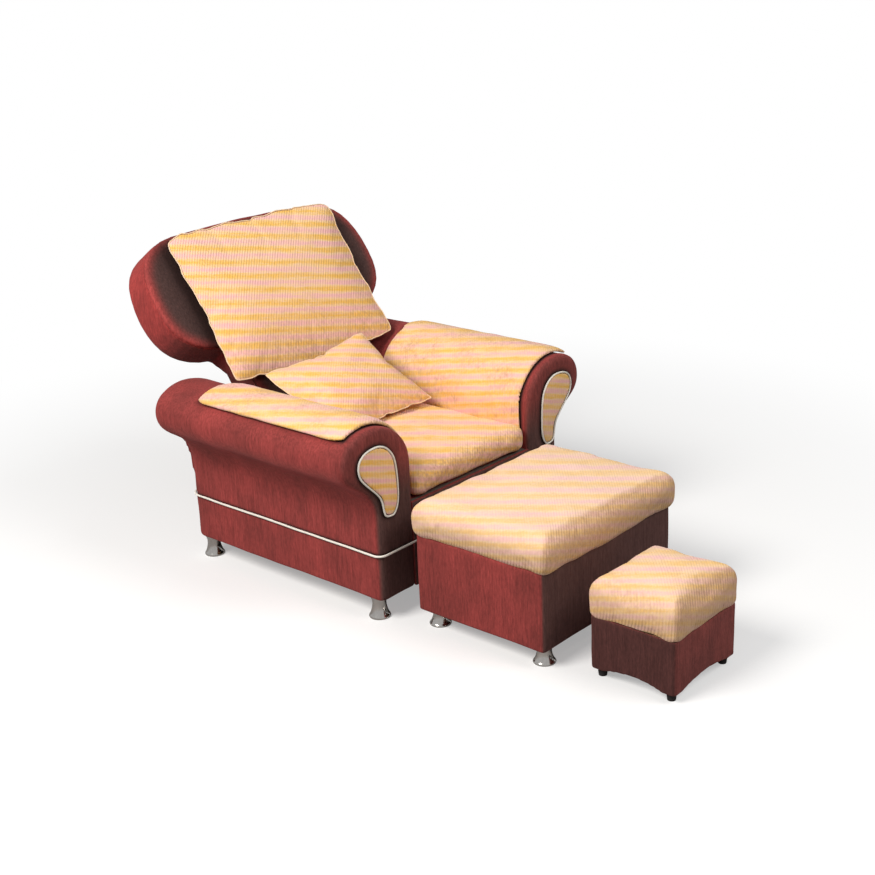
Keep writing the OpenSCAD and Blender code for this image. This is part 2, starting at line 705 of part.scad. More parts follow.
module facing_piping(s) color(white) in_set() side(s)
    flat_tube(inset(facing_outline, -piping_d / 2 - cloth_gap), front_y - piping_d / 2 - cloth_gap, piping_d / 2, 6);

// Piping round the base: straight runs joined by quarter rings
module base_piping() color(white) in_set() translate([0, 0, base_piping_z]) {
    r = piping_d / 2;
    x = half_w + r + cloth_gap;
    y = rear_y + r + cloth_gap;
    reach_f = arm_front_r + r + cloth_gap;
    reach_r = arm_rear_r + r + cloth_gap;
    both_sides() {
        translate([x, -y + reach_f, 0]) rotate([-90, 0, 0]) cylinder(r = r, h = 2 * y - reach_f - reach_r);
        translate([x - reach_f, -y + reach_f, 0]) rotate([0, 0, -90]) corner_ring(reach_f, r);
        translate([x - reach_r, y - reach_r, 0]) corner_ring(reach_r, r);
        translate([0, -y, 0]) rotate([0, 90, 0]) cylinder(r = r, h = x - reach_f);
        translate([0, y, 0]) rotate([0, 90, 0]) cylinder(r = r, h = x - reach_r);
    }
}
module corner_ring(reach, r) rotate_extrude(angle = 90) translate([reach, 0]) circle(r = r);

module seat_cushion() color(cream) in_set()
    translate([0, (seat_rear_edge_y + seat_front_edge_y) / 2, 0])
        boxed_cushion(seat_half_w, (seat_rear_edge_y - seat_front_edge_y) / 2, seat_z, seat_top_z,
            seat_corner_r, seat_edge_r, seat_crown, seat_draw);

// Feet
module chrome_foot(h) {
    rb = foot_base_d / 2;
    rw = foot_waist_d / 2;
    rt = foot_top_d / 2;
    neck_h = h - foot_rim_h - foot_plate_h;
    flare = [for (i = [0:8]) let (t = i / 8)
        [rw + (rb - rw) * pow(1 - t, 2.4) + (rt - rw) * pow(t, 5), foot_rim_h + neck_h * t]];
    difference() {
        rotate_extrude() polygon(concat([[0, 0], [rb - foot_rim_h / 3, 0], [rb, foot_rim_h / 3]], flare,
            [[rt, h - foot_plate_h], [rt, h], [0, h]]));
        translate([0, 0, h - stud_in_foot]) cylinder(d = stud_d + 2 * pin_clear, h = stud_in_foot + over);
    }
}
module chair_foot(x, y) color(chrome) in_set() translate([x, y, 0]) chrome_foot(underside_z);
module foot_front_left() chair_foot(foot_x, -foot_y);
module foot_front_right() chair_foot(-foot_x, -foot_y);
module foot_rear_left() chair_foot(foot_x, foot_y);
module foot_rear_right() chair_foot(-foot_x, foot_y);
module foot_studs() color(steel) in_set() both_sides() for (y = [-foot_y, foot_y])
    translate([foot_x, y, underside_z - stud_in_foot + over]) cylinder(d = stud_d, h = stud_in_foot + stud_grip);

// Recline hinges
module hinge_outline(l, drop) {
    circle(d = drum_d);
    translate([0, drop * l / 2]) square([hinge_arm_w, l], center = true);
    translate([0, drop * l]) circle(d = hinge_arm_w);
}
module hinge_plate(s) color(steel) in_set() side(s) translate([0, hinge_y, hinge_z]) difference() {
    along_x(plate_in_x, plate_out_x) difference() {
        hinge_outline(fixed_arm_l, -1);
        circle(d = hinge_pin_d + 2 * pin_clear);
        for (k = [0.45, 0.75, 1]) translate([0, -fixed_arm_l * k]) circle(d = screw_d + 2 * pin_clear);
    }
}
module hinge_pins() color(steel) in_set() both_sides() translate([0, hinge_y, hinge_z]) rotate([0, 90, 0]) {
    translate([0, 0, stile_out_x + cloth_gap]) cylinder(d = rivet_head_d, h = rivet_head_t);
    translate([0, 0, stile_out_x + cloth_gap]) cylinder(d = hinge_pin_d, h = plate_out_x - stile_out_x - cloth_gap);
}
module hinge_screws() color(steel) in_set() both_sides() for (k = [0.45, 0.75, 1])
    translate([0, hinge_y, hinge_z - fixed_arm_l * k]) rotate([0, 90, 0]) {
        translate([0, 0, plate_in_x - screw_head_t]) cylinder(d1 = screw_d, d2 = 2 * screw_d, h = screw_head_t);
        translate([0, 0, plate_in_x]) cylinder(d = screw_d, h = hinge_plate_t);
    }
module hinge_arm(s) color(steel) on_back() side(s) translate([0, hinge_by, hinge_bz]) difference() {
    union() {
        along_x(stile_out_x, stile_out_x + hinge_plate_t) hinge_outline(moving_arm_l, 1);
        along_x(drum_in_x, wheel_in_x) circle(d = drum_d - drum_step);
    }
    along_x(stile_out_x - over, drum_out_x + over) circle(d = hinge_pin_d + 2 * pin_clear);
    along_x(stile_out_x - over, stile_out_x + cloth_gap + rivet_head_t + pin_clear)
        circle(d = rivet_head_d + 2 * pin_clear);
    along_x(stile_out_x - over, drum_in_x + over) for (k = [0.5, 0.95])
        translate([0, moving_arm_l * k]) circle(d = screw_d);
}

module ratchet_wheels() color(steel) on_back() both_sides() translate([0, hinge_by, hinge_bz])
    along_x(wheel_in_x, drum_out_x) difference() {
        tip = (drum_d - drum_step) / 2;
        polygon([for (i = [0:ratchet_teeth - 1]) let (a = 360 * i / ratchet_teeth)
            each [tip * unit(a), (tip - tooth_h) * unit(a + tooth_undercut)]]);
        circle(d = hinge_pin_d + 2 * pin_clear);
    }
module pawls() color(steel) in_set() both_sides() translate([0, hinge_y, hinge_z]) {
    tip_reach = (drum_d - drum_step) / 2 + pawl_lift + pawl_tip_r;
    along_x(wheel_in_x, drum_out_x) hull() {
        translate(pawl_pivot) circle(r = pawl_hub_r);
        translate(tip_reach * unit(pawl_tip_turn)) circle(r = pawl_tip_r);
    }
    along_x(wheel_in_x - pawl_pin_head_t, plate_in_x) translate(pawl_pivot) circle(r = pawl_pin_r);
    along_x(wheel_in_x + leaf_w / 2, wheel_in_x + leaf_w * 3 / 2) hull() for (e = [leaf_post, leaf_end])
        translate(e) circle(d = leaf_t);
    along_x(wheel_in_x + leaf_w / 2, plate_in_x) translate(leaf_post) circle(r = leaf_post_r);
}

// Backrest
module back_stiles() color(wood) on_back() both_sides()
    block([stile_out_x - stile_w, stile_y, cavity_low_bz + wood_fit], [stile_out_x - cloth_gap, stile_y + stile_d, stile_top_bz]);

module back_rails() color(wood) on_back() for (z = [cavity_low_bz + rail_rise, back_rise * middle_rail_share, stile_top_bz - rail_h])
    block([-stile_out_x + stile_w, stile_y + rail_in, z], [stile_out_x - stile_w, stile_y + rail_in + rail_d, z + rail_h]);

module back_wing_boards() color(wood) on_back() both_sides() intersection() {
    along_y(wing_board_y, wing_board_y + board_t) polygon(inset(back_outline, back_cover_t + wood_fit));
    block([stile_out_x, wing_board_y - over, wing_low_bz], [wing_half_w, wing_board_y + board_t + over, back_rise]);
}

module back_webbing() color(felt) on_back() for (i = [0:web_count - 1])
    translate([-stile_out_x + web_margin, stile_y - web_t, back_rise * (web_first_share + web_pitch_share * i)])
        cube([2 * (stile_out_x - web_margin), web_t, web_w]);

// The back's lower end is rounded about the hinge pin, so that it turns in place
module low_corner(y, rear) along_x(-neck_half_w - over, neck_half_w + over) {
    s = rear ? 1 : -1;
    r = bottom_r + blend;
    polygon(concat([for (a = [0:9:90]) [y + s * r * cos(a), hinge_bz - r * sin(a)]],
        [[y, hinge_bz - r - over], [y + s * (r + over), hinge_bz - r - over], [y + s * (r + over), hinge_bz]]));
}
function back_ring(y, d) = at_y(inset(back_outline, d), y);
// Pocket in the back's side for the hinge arm and its drum
module hinge_pocket() side_pocket() {
    polygon(arc([0, 0], drum_d / 2 + pocket_clear, 0, 345, 23));
    translate([-hinge_arm_w / 2 - pocket_clear, 0]) square([hinge_arm_w + 2 * pocket_clear, moving_arm_l + hinge_arm_w / 2 + pocket_clear]);
}
module side_pocket() both_sides() translate([0, hinge_by, hinge_bz])
    along_x(stile_out_x - over, neck_half_w + over) children();

module back_front_pad() color(red_deep) on_back() difference() {
    loft(concat([for (a = [0:22.5:90]) back_ring(back_face_y + back_front_r * (1 - cos(a)), back_front_r * (1 - sin(a)))],
        [back_ring(back_split_y - cloth_gap / 2, 0)]));
    low_corner(hinge_by, false);
    hinge_pocket();
}
module back_rear_shell() color(red) on_back() difference() {
    loft(concat([back_ring(back_split_y + cloth_gap / 2, 0)],
        [for (a = [90:-22.5:0]) back_ring(back_rear_y - back_rear_r * (1 - cos(a)), back_rear_r * (1 - sin(a)))]));
    low_corner(hinge_by, false);
    low_corner(back_rear_y - bottom_r, true);
    intersection() {
        along_y(back_split_y - over, back_rear_y - back_wall_t) polygon(inset(back_outline, back_cover_t));
        block([-wing_half_w, back_split_y - over, cavity_low_bz], [wing_half_w, back_rear_y, back_rise]);
    }
    hinge_pocket();
}

module back_cushion() color(cream) on_back() translate([0, back_seam_y, back_cushion_l / 2])
    knife_cushion(back_cushion_w, back_cushion_l, back_puff, back_full, back_face_y - back_seam_y - cloth_gap, knife_edge_t,
        back_draw, back_blunt, back_cells);

module lumbar_pillow() color(cream) in_set() translate([pillow_x, pillow_y, pillow_z])
    rotate([pillow_slope - 90, 0, 0]) rotate([0, -pillow_turn, 0])
        knife_cushion(pillow_w, pillow_l, pillow_front_t, pillow_t - pillow_front_t, pillow_t, knife_edge_t, pillow_draw,
            pillow_blunt, pillow_cells);

// Boxes of the ottoman and the stool
module rounded_box(w, d, z0, z1, r) translate([0, 0, z0]) linear_extrude(z1 - z0) {
    square([w - 2 * r, d], center = true);
    square([w, d - 2 * r], center = true);
    for (x = [-1, 1], y = [-1, 1]) translate([x * (w / 2 - r), y * (d / 2 - r)]) circle(r = r);
}
module box_cover(w, d, z0, z1) difference() {
    rounded_box(w, d, z0, z1, box_corner_r);
    translate([-w / 2 + box_cover_t, -d / 2 + box_cover_t, z0 - over])
        cube([w - 2 * box_cover_t, d - 2 * box_cover_t, z1 - z0 + 2 * over]);
}
// Four upright boards, the long pair between the short pair
module box_boards(w, d, z0, z1, t) {
    in = box_cover_t + wood_fit;
    for (s = [0, 1]) mirror([s, 0, 0])
        block([w / 2 - in - t, -d / 2 + in, z0], [w / 2 - in, d / 2 - in, z1]);
    for (s = [0, 1]) mirror([0, s, 0])
        block([-w / 2 + in + t, d / 2 - in - t, z0], [w / 2 - in - t, d / 2 - in, z1]);
}
module box_panel(w, d, z0, z1) {
    in = box_cover_t + wood_fit;
    block([-w / 2 + in, -d / 2 + in, z0], [w / 2 - in, d / 2 - in, z1]);
}
module at_ottoman() in_set() translate([ottoman_x, ottoman_y, 0]) children();
module at_stool() in_set() translate([stool_x, stool_y, 0]) children();
ottoman_feet = [for (y = [1, -1], x = [-1, 1])
    [x * (ottoman_w / 2 - ottoman_foot_in[0]), y * (ottoman_d / 2 - ottoman_foot_in[1])]];

module ottoman_boards() color(wood) at_ottoman()
    box_boards(ottoman_w, ottoman_d, ottoman_z + box_board_t, ottoman_seam_z - box_board_t, box_board_t);
module ottoman_top_board() color(wood) at_ottoman()
    box_panel(ottoman_w, ottoman_d, ottoman_seam_z - box_board_t, ottoman_seam_z);
module ottoman_bottom_board() color(wood) at_ottoman() difference() {
    box_panel(ottoman_w, ottoman_d, ottoman_z, ottoman_z + box_board_t);
    for (p = ottoman_feet) translate([p[0], p[1], ottoman_z - over])
        cylinder(d = stud_d + 2 * pin_clear, h = box_board_t + 2 * over);
}
module ottoman_cover() color(red) at_ottoman() box_cover(ottoman_w, ottoman_d, ottoman_z, ottoman_seam_z);
module ottoman_cushion() color(cream) at_ottoman()
    boxed_cushion(ottoman_w / 2 + ottoman_proud, ottoman_d / 2 + ottoman_proud, ottoman_seam_z + cloth_gap,
        ottoman_top_z, ottoman_corner_r, ottoman_edge_r, ottoman_crown, box_draw);
module ottoman_foot(k) color(chrome) at_ottoman()
    translate([ottoman_feet[k][0], ottoman_feet[k][1], 0]) chrome_foot(ottoman_z);
module ottoman_studs() color(steel) at_ottoman() for (p = ottoman_feet)
    translate([p[0], p[1], ottoman_z - stud_in_foot + over]) cylinder(d = stud_d, h = stud_in_foot + stud_grip);

module stool_boards() color(wood) at_stool() {
    box_boards(stool_w, stool_d, stool_z + stool_arch, stool_seam_z - stool_board_t, stool_board_t);
    box_panel(stool_w, stool_d, stool_seam_z - stool_board_t, stool_seam_z);
}
// Red sleeve whose lower hem lifts in a shallow arch between the corners
module stool_cover() color(red_deep) at_stool() difference() {
    box_cover(stool_w, stool_d, stool_z, stool_seam_z);
    hem_arch(stool_w, stool_d);
    rotate([0, 0, 90]) hem_arch(stool_d, stool_w);
}
module hem_arch(w, d) {
    span = w / 2 - stool_foot_d * 1.3;
    r = (span * span + stool_arch * stool_arch) / (2 * stool_arch);
    along_y(-d / 2 - over, d / 2 + over) translate([0, stool_z + stool_arch - r]) circle(r = r, $fn = 200);
}
module stool_cushion() color(cream) at_stool()
    boxed_cushion(stool_w / 2 + stool_proud, stool_d / 2 + stool_proud, stool_seam_z + cloth_gap,
        stool_top_z, stool_corner_r, stool_edge_r, stool_crown, box_draw);
module stool_feet() color(black) at_stool() for (x = [-1, 1], y = [-1, 1])
    translate([x * (stool_w / 2 - stool_foot_in), y * (stool_d / 2 - stool_foot_in), 0]) {
        cylinder(d1 = stool_foot_d * 0.8, d2 = stool_foot_d, h = stool_z);
        translate([0, 0, stool_z]) cylinder(d = stool_foot_d, h = stool_arch);
    }

front_rail();
rear_rail();
seat_rear_rail();
seat_side_rails();
corner_blocks();
seat_springs();
spring_clips();
seat_deck();
dust_cover();
front_border();
rear_panel();
arm_frame(1);  // left_arm_frame
arm_frame(-1);  // right_arm_frame
base_board(1);  // left_base_board
base_board(-1);  // right_base_board
arm_cover(1);  // left_arm_cover
arm_cover(-1);  // right_arm_cover
arm_pad(1);  // left_arm_pad
arm_pad(-1);  // right_arm_pad
facing(1);  // left_facing
facing(-1);  // right_facing
facing_piping(1);  // left_facing_piping
facing_piping(-1);  // right_facing_piping
base_piping();
seat_cushion();
foot_front_left();
foot_front_right();
foot_rear_left();
foot_rear_right();
foot_studs();
hinge_plate(1);  // left_hinge_plate
hinge_plate(-1);  // right_hinge_plate
hinge_pins();
hinge_screws();
ratchet_wheels();
pawls();
back_stiles();
back_rails();
back_wing_boards();
back_webbing();
back_front_pad();
back_rear_shell();
back_cushion();
hinge_arm(1);  // left_hinge_arm
hinge_arm(-1);  // right_hinge_arm
lumbar_pillow();
ottoman_boards();
ottoman_top_board();
ottoman_bottom_board();
ottoman_cover();
ottoman_cushion();
ottoman_foot(0);  // ottoman_foot_1
ottoman_foot(1);  // ottoman_foot_2
ottoman_foot(2);  // ottoman_foot_3
ottoman_foot(3);  // ottoman_foot_4
ottoman_studs();
stool_boards();
stool_cover();
stool_cushion();
stool_feet();
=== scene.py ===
import json
import math

import bmesh
import bpy
import numpy as np
from mathutils import Matrix, Vector, noise
from mathutils.bvhtree import BVHTree
from mathutils.kdtree import KDTree


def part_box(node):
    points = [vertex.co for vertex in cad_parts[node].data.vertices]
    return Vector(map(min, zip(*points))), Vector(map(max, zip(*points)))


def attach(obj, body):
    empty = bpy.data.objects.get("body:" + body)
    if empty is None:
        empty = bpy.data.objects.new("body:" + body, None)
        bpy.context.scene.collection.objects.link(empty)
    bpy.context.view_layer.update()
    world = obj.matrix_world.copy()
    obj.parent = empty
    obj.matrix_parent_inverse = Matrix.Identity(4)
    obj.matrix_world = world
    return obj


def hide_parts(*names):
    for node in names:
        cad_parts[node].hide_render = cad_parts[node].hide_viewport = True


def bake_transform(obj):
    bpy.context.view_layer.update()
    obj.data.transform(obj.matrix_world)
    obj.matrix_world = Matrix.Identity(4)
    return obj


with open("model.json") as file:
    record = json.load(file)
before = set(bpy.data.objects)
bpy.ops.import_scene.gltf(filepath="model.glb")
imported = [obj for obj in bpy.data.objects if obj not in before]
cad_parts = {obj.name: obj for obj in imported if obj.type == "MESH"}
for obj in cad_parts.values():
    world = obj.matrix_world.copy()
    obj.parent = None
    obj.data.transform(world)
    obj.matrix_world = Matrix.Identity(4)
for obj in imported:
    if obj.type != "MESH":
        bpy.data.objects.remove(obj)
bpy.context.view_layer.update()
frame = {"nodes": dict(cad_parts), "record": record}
scene = bpy.context.scene
scene.view_settings.view_transform = "Standard"
bpy.ops.object.select_all(action="DESELECT")

# --- Studio -----------------------------------------------------------------
# A pale floor that runs into a white room. A broad lamp stands high on the
# left, a weaker one in front, and dim light comes from all round.

floor_radius = 14.0
shadow_keeps_to, white_from = 0.9, 2.8  # how far from the middle the floor's own tone fades to white

def studio_material(name):
    material = bpy.data.materials.new(name)
    material.use_nodes = True
    material.node_tree.nodes.clear()
    return material, material.node_tree


def add_node(tree, kind, inputs=(), **settings):
    """A node with its settings and its inputs: a number or colour is set, a socket is linked."""
    node = tree.nodes.new(kind)
    for key, value in settings.items():
        setattr(node, key, value)
    for key, value in inputs:
        if isinstance(value, bpy.types.NodeSocket):
            tree.links.new(value, node.inputs[key])
        else:
            node.inputs[key].default_value = value
    return node


bpy.ops.mesh.primitive_circle_add(vertices=96, radius=floor_radius, fill_type="NGON", location=(0, 0.35, 0))
floor = bpy.context.object
floor.name = "floor"
floor_material, tree = studio_material("floor_paper")
place = add_node(tree, "ShaderNodeTexCoord")
away = add_node(tree, "ShaderNodeVectorMath", [(0, place.outputs["Object"])], operation="LENGTH")
fade = add_node(tree, "ShaderNodeMapRange", [("Value", away.outputs["Value"]), ("From Min", shadow_keeps_to),
                                             ("From Max", white_from)], interpolation_type="SMOOTHSTEP")
ray = add_node(tree, "ShaderNodeLightPath")
glowing = add_node(tree, "ShaderNodeMapRange", [("Value", fade.outputs["Result"]), ("To Min", 0.35)])
share = add_node(tree, "ShaderNodeMath", [(0, ray.outputs["Is Camera Ray"]), (1, glowing.outputs[0])],
                 operation="MULTIPLY")
tone = add_node(tree, "ShaderNodeMix", [(0, ray.outputs["Is Camera Ray"]), (6, (0.36, 0.355, 0.35, 1)),
                                        (7, (0.96, 0.96, 0.96, 1))], data_type="RGBA")
paper = add_node(tree, "ShaderNodeBsdfDiffuse", [("Color", tone.outputs[2])])
glow = add_node(tree, "ShaderNodeEmission", [("Color", (1, 1, 1, 1))])
join = add_node(tree, "ShaderNodeMixShader", [("Fac", share.outputs[0]), (1, paper.outputs[0]),
                                              (2, glow.outputs[0])])
add_node(tree, "ShaderNodeOutputMaterial", [("Surface", join.outputs[0])])
floor.data.materials.append(floor_material)

world = bpy.data.worlds.new("room")
scene.world = world
world.use_nodes = True
tree = world.node_tree
tree.nodes.clear()
ray = add_node(tree, "ShaderNodeLightPath")
ambient = add_node(tree, "ShaderNodeBackground", [("Color", (0.96, 0.97, 1.0, 1)), ("Strength", 0.19)])
backdrop = add_node(tree, "ShaderNodeBackground", [("Color", (1, 1, 1, 1))])
mirrored = add_node(tree, "ShaderNodeMath", [(0, ray.outputs["Is Glossy Ray"]), (1, 0.4),
                                             (2, ray.outputs["Is Camera Ray"])],
                    operation="MULTIPLY_ADD", use_clamp=True)
join = add_node(tree, "ShaderNodeMixShader", [("Fac", mirrored.outputs[0]), (1, ambient.outputs[0]),
                                              (2, backdrop.outputs[0])])
add_node(tree, "ShaderNodeOutputWorld", [("Surface", join.outputs[0])])


def lamp(name, place, aim, size, power, colour):
    data = bpy.data.lights.new(name, "AREA")
    data.shape = "DISK"
    data.size = size
    data.energy = power
    data.color = colour
    made = bpy.data.objects.new(name, data)
    scene.collection.objects.link(made)
    made.location = place
    made.rotation_euler = (Vector(aim) - Vector(place)).to_track_quat("-Z", "Y").to_euler()


lamp("key_lamp", (-4.4, 0.5, 4.7), (-0.1, 0.1, 0.4), size=2.8, power=378, colour=(1.0, 0.97, 0.93))
lamp("front_lamp", (0.9, -4.4, 5.0), (0.0, 0.2, 0.4), size=3.2, power=170, colour=(1.0, 0.985, 0.96))

# --- Camera -----------------------------------------------------------------
# Stands where the photograph was taken from: in front of the chair's right
# arm, a little above a sitter's eye, and leaning two and a half degrees.

azimuth, tilt, roll = (math.radians(d) for d in (-47.4765, 19.776, -2.5303))
aim = Vector((0.3151, 0.354659, 0.2925))
distance = 5.1232
back = Vector((math.sin(azimuth) * math.cos(tilt), -math.cos(azimuth) * math.cos(tilt), math.sin(tilt)))
level = Vector((math.cos(azimuth), math.sin(azimuth), 0))
upright = back.cross(level)
right = level * math.cos(roll) + upright * math.sin(roll)
up = upright * math.cos(roll) - level * math.sin(roll)
camera_data = bpy.data.cameras.new("camera")
camera_data.lens = 59.744
camera_data.sensor_width = 36.0
camera = bpy.data.objects.new("camera", camera_data)
scene.collection.objects.link(camera)
pose = Matrix((right, up, back)).transposed().to_4x4()
pose.translation = aim + back * distance
camera.matrix_world = pose
scene.camera = camera

# --- Arms -------------------------------------------------------------------
# Each arm is a ply frame padded with foam and dressed in one piece of red
# velour, tacked under the base. Its short pile shows as fine streaks, and its
# front faces are darkened with painted shade.

def cloth_material(name):
    """A rough cloth shader, with its tree, for the colour and bump to be wired to."""
    material = bpy.data.materials.new(name)
    material.use_nodes = True
    tree = material.node_tree
    shader = tree.nodes["Principled BSDF"]
    shader.inputs["Roughness"].default_value = 0.86
    shader.inputs["Specular IOR Level"].default_value = 0.2
    return material, tree, shader


def streaks(tree, scale, detail, stretch):
    """Noise drawn out along stretch, on the piece's own coordinates."""
    place = add_node(tree, "ShaderNodeTexCoord")
    turned = add_node(tree, "ShaderNodeMapping", [("Vector", place.outputs["Object"]), ("Scale", stretch)])
    return add_node(tree, "ShaderNodeTexNoise", [("Vector", turned.outputs[0]), ("Scale", scale),
                                                 ("Detail", detail), ("Roughness", 0.6)]).outputs["Fac"]


def blend_colours(tree, share, first, second, mode="MIX"):
    """Two colours or sockets mixed by a share."""
    return add_node(tree, "ShaderNodeMix", [(0, share), (6, first), (7, second)],
                    data_type="RGBA", blend_type=mode).outputs[2]


def stretch_range(tree, value, low, high, to_low=0.0, to_high=1.0):
    return add_node(tree, "ShaderNodeMapRange", [("Value", value), ("From Min", low), ("From Max", high),
                                                 ("To Min", to_low), ("To Max", to_high)]).outputs[0]


def combine(tree, operation, first, second):
    return add_node(tree, "ShaderNodeMath", [(0, first), (1, second)], operation=operation).outputs[0]


def velour(name, lit, dark, shaded_side, sheen):
    """Short-pile velour: streaked along the pile, cloudy where it has been brushed, with painted shade where
    marked.
    """
    material, tree, shader = cloth_material(name)
    pile = streaks(tree, 1.0, 4.0, (170, 170, 14))
    fleck = streaks(tree, 1.0, 3.0, (230, 230, 70))
    cloud = streaks(tree, 1.0, 3.0, (7, 7, 5))
    fuzz = streaks(tree, 1.0, 2.0, (900, 900, 900))
    painted_shade = add_node(tree, "ShaderNodeAttribute", attribute_name="painted_shade").outputs["Fac"]
    colour = blend_colours(tree, stretch_range(tree, cloud, 0.3, 0.7), (*dark, 1), (*lit, 1))
    # Painted shade: the colour goes to the shade colour where the points are marked as shaded.
    colour = blend_colours(tree, painted_shade, colour, (*shaded_side, 1))
    # Painted shade, nearly black, in the creases where other parts lie close.
    contact_shade = add_node(tree, "ShaderNodeAttribute", attribute_name="contact_shade").outputs["Fac"]
    colour = blend_colours(tree, contact_shade, colour, (0.018, 0.009, 0.008, 1))
    shade = combine(tree, "MULTIPLY", stretch_range(tree, pile, 0.25, 0.75, 0.66, 1.3),
                    stretch_range(tree, fleck, 0.3, 0.7, 0.8, 1.18))
    grain = add_node(tree, "ShaderNodeCombineColor", [(0, shade), (1, shade), (2, shade)]).outputs[0]
    colour = blend_colours(tree, 1.0, colour, grain, "MULTIPLY")
    tree.links.new(colour, shader.inputs["Base Color"])
    shader.inputs["Sheen Weight"].default_value = sheen
    shader.inputs["Sheen Roughness"].default_value = 0.4
    shader.inputs["Sheen Tint"].default_value = (0.95, 0.32, 0.3, 1)
    bump = add_node(tree, "ShaderNodeBump", [("Height", combine(tree, "ADD", pile, fuzz)), ("Strength", 0.4),
                                             ("Distance", 0.0012)])
    tree.links.new(bump.outputs[0], shader.inputs["Normal"])
    return material


def new_piece(name, shape):
    """A mesh object made from a bmesh, which it uses up."""
    piece = bpy.data.objects.new(name, bpy.data.meshes.new(name))
    scene.collection.objects.link(piece)
    bmesh.ops.recalc_face_normals(shape, faces=shape.faces)
    shape.to_mesh(piece.data)
    shape.free()
    return piece


def welded_copy(name, *solids):
    """The frame's solids as one new mesh, with the corners of its triangles joined."""
    shape = bmesh.new()
    for solid in solids:
        shape.from_mesh(frame["nodes"][solid].data)
    bmesh.ops.remove_doubles(shape, verts=shape.verts, dist=0.00002)
    return new_piece(name, shape)


def parts_of(shape):
    """The separate pieces of a bmesh, as sets of corners."""
    left, parts = set(shape.verts), []
    while left:
        reach, part = [next(iter(left))], set()
        while reach:
            corner = reach.pop()
            if corner in part:
                continue
            part.add(corner)
            reach.extend(e.other_vert(corner) for e in corner.link_edges)
        left -= part
        parts.append(part)
    return parts


def spread(part):
    """Length of the diagonal of the box round some corners."""
    spots = np.array([v.co for v in part])
    return np.linalg.norm(np.ptp(spots, axis=0))


def keep_outside(piece, *mouths):
    """Opens the mouths of a hollow cover, keeps only its outer wall, and closes the mouths flat.
    With no mouths given, the inner walls are the faces that look across a hollow at one another."""
    narrowest_hollow, widest_hollow = 0.004, 0.8
    shape = bmesh.new()
    shape.from_mesh(piece.data)
    if mouths:
        for way in map(Vector, mouths):
            edge = max(v.co.dot(way) for v in shape.verts)
            rim = [f for f in shape.faces
                   if f.normal.dot(way) > 0.99 and f.calc_center_median().dot(way) > edge - 0.001]
            bmesh.ops.delete(shape, geom=rim, context="FACES")
        outer = max(parts_of(shape), key=spread)
        bmesh.ops.delete(shape, geom=[v for v in shape.verts if v not in outer], context="VERTS")
    else:
        tree = BVHTree.FromBMesh(shape)
        inner = []
        for f in shape.faces:
            start = f.calc_center_median() + f.normal * 1e-4
            _, normal, _, reach = tree.ray_cast(start, f.normal, widest_hollow)
            if reach and reach > narrowest_hollow and normal.dot(f.normal) < -0.2:
                inner.append(f)
        bmesh.ops.delete(shape, geom=inner, context="FACES")
    bmesh.ops.holes_fill(shape, edges=[e for e in shape.edges if e.is_boundary])
    bmesh.ops.triangulate(shape, faces=shape.faces)
    bmesh.ops.recalc_face_normals(shape, faces=shape.faces)
    shape.to_mesh(piece.data)
    shape.free()


def only(piece):
    """Selects one piece and nothing else."""
    bpy.ops.object.select_all(action="DESELECT")
    piece.select_set(True)
    bpy.context.view_layer.objects.active = piece


def remesh(piece, voxel):
    """Even square cells all over, fit for padding out."""
    only(piece)
    cells = piece.modifiers.new("cells", "REMESH")
    cells.mode = "VOXEL"
    cells.voxel_size = voxel
    bpy.ops.object.modifier_apply(modifier=cells.name)


def largest_part(piece):
    """Drops the closed walls that a remesh leaves inside a hollow piece."""
    shape = bmesh.new()
    shape.from_mesh(piece.data)
    outer = max(parts_of(shape), key=spread)
    bmesh.ops.delete(shape, geom=[v for v in shape.verts if v not in outer], context="VERTS")
    shape.to_mesh(piece.data)
    shape.free()


def points_of(piece):
    spots = np.empty(len(piece.data.vertices) * 3)
    piece.data.vertices.foreach_get("co", spots)
    return spots.reshape(-1, 3)


def normals_of(piece):
    ways = np.empty(len(piece.data.vertices) * 3)
    piece.data.vertices.foreach_get("normal", ways)
    return ways.reshape(-1, 3)


def set_points(piece, spots):
    piece.data.vertices.foreach_set("co", np.ascontiguousarray(spots, float).ravel())
    piece.data.update()


def relax(piece, factor, times):
    """Evens out steps and facets, and keeps the piece's box."""
    start = points_of(piece)
    only(piece)
    ease = piece.modifiers.new("ease", "SMOOTH")
    ease.factor = factor
    ease.iterations = times
    bpy.ops.object.modifier_apply(modifier=ease.name)
    end = points_of(piece)
    set_points(piece, start.min(0) + (end - end.min(0)) * np.ptp(start, axis=0) / np.ptp(end, axis=0))


def distance_to(other, spots):
    """How far each spot is from another object's surface."""
    solid = bmesh.new()
    solid.from_mesh(other.data)
    tree = BVHTree.FromBMesh(solid)
    solid.free()
    return np.array([tree.find_nearest(Vector(spot))[3] for spot in spots])


def press(piece, other, reach, depth):
    """Draws a cover in round what lies on it, and marks how near each point is, for painted shade in the crease
    there.
    """
    spots, ways = points_of(piece), normals_of(piece)
    mark = np.exp(-(distance_to(other, spots) / reach) ** 2)
    if "contact_shade" not in piece.data.attributes:
        piece.data.attributes.new("contact_shade", "FLOAT", "POINT")
    before = np.empty(len(spots))
    piece.data.attributes["contact_shade"].data.foreach_get("value", before)
    piece.data.attributes["contact_shade"].data.foreach_set("value", np.maximum(before, mark))
    set_points(piece, spots - ways * (depth * mark)[:, None])


def crumple(piece, size, depth):
    """Soft lumps of a given size, in and out along the surface."""
    spots, ways = points_of(piece), normals_of(piece)
    lift = np.array([noise.noise(Vector(spot) / size) for spot in spots])
    set_points(piece, spots + ways * (lift * depth)[:, None])


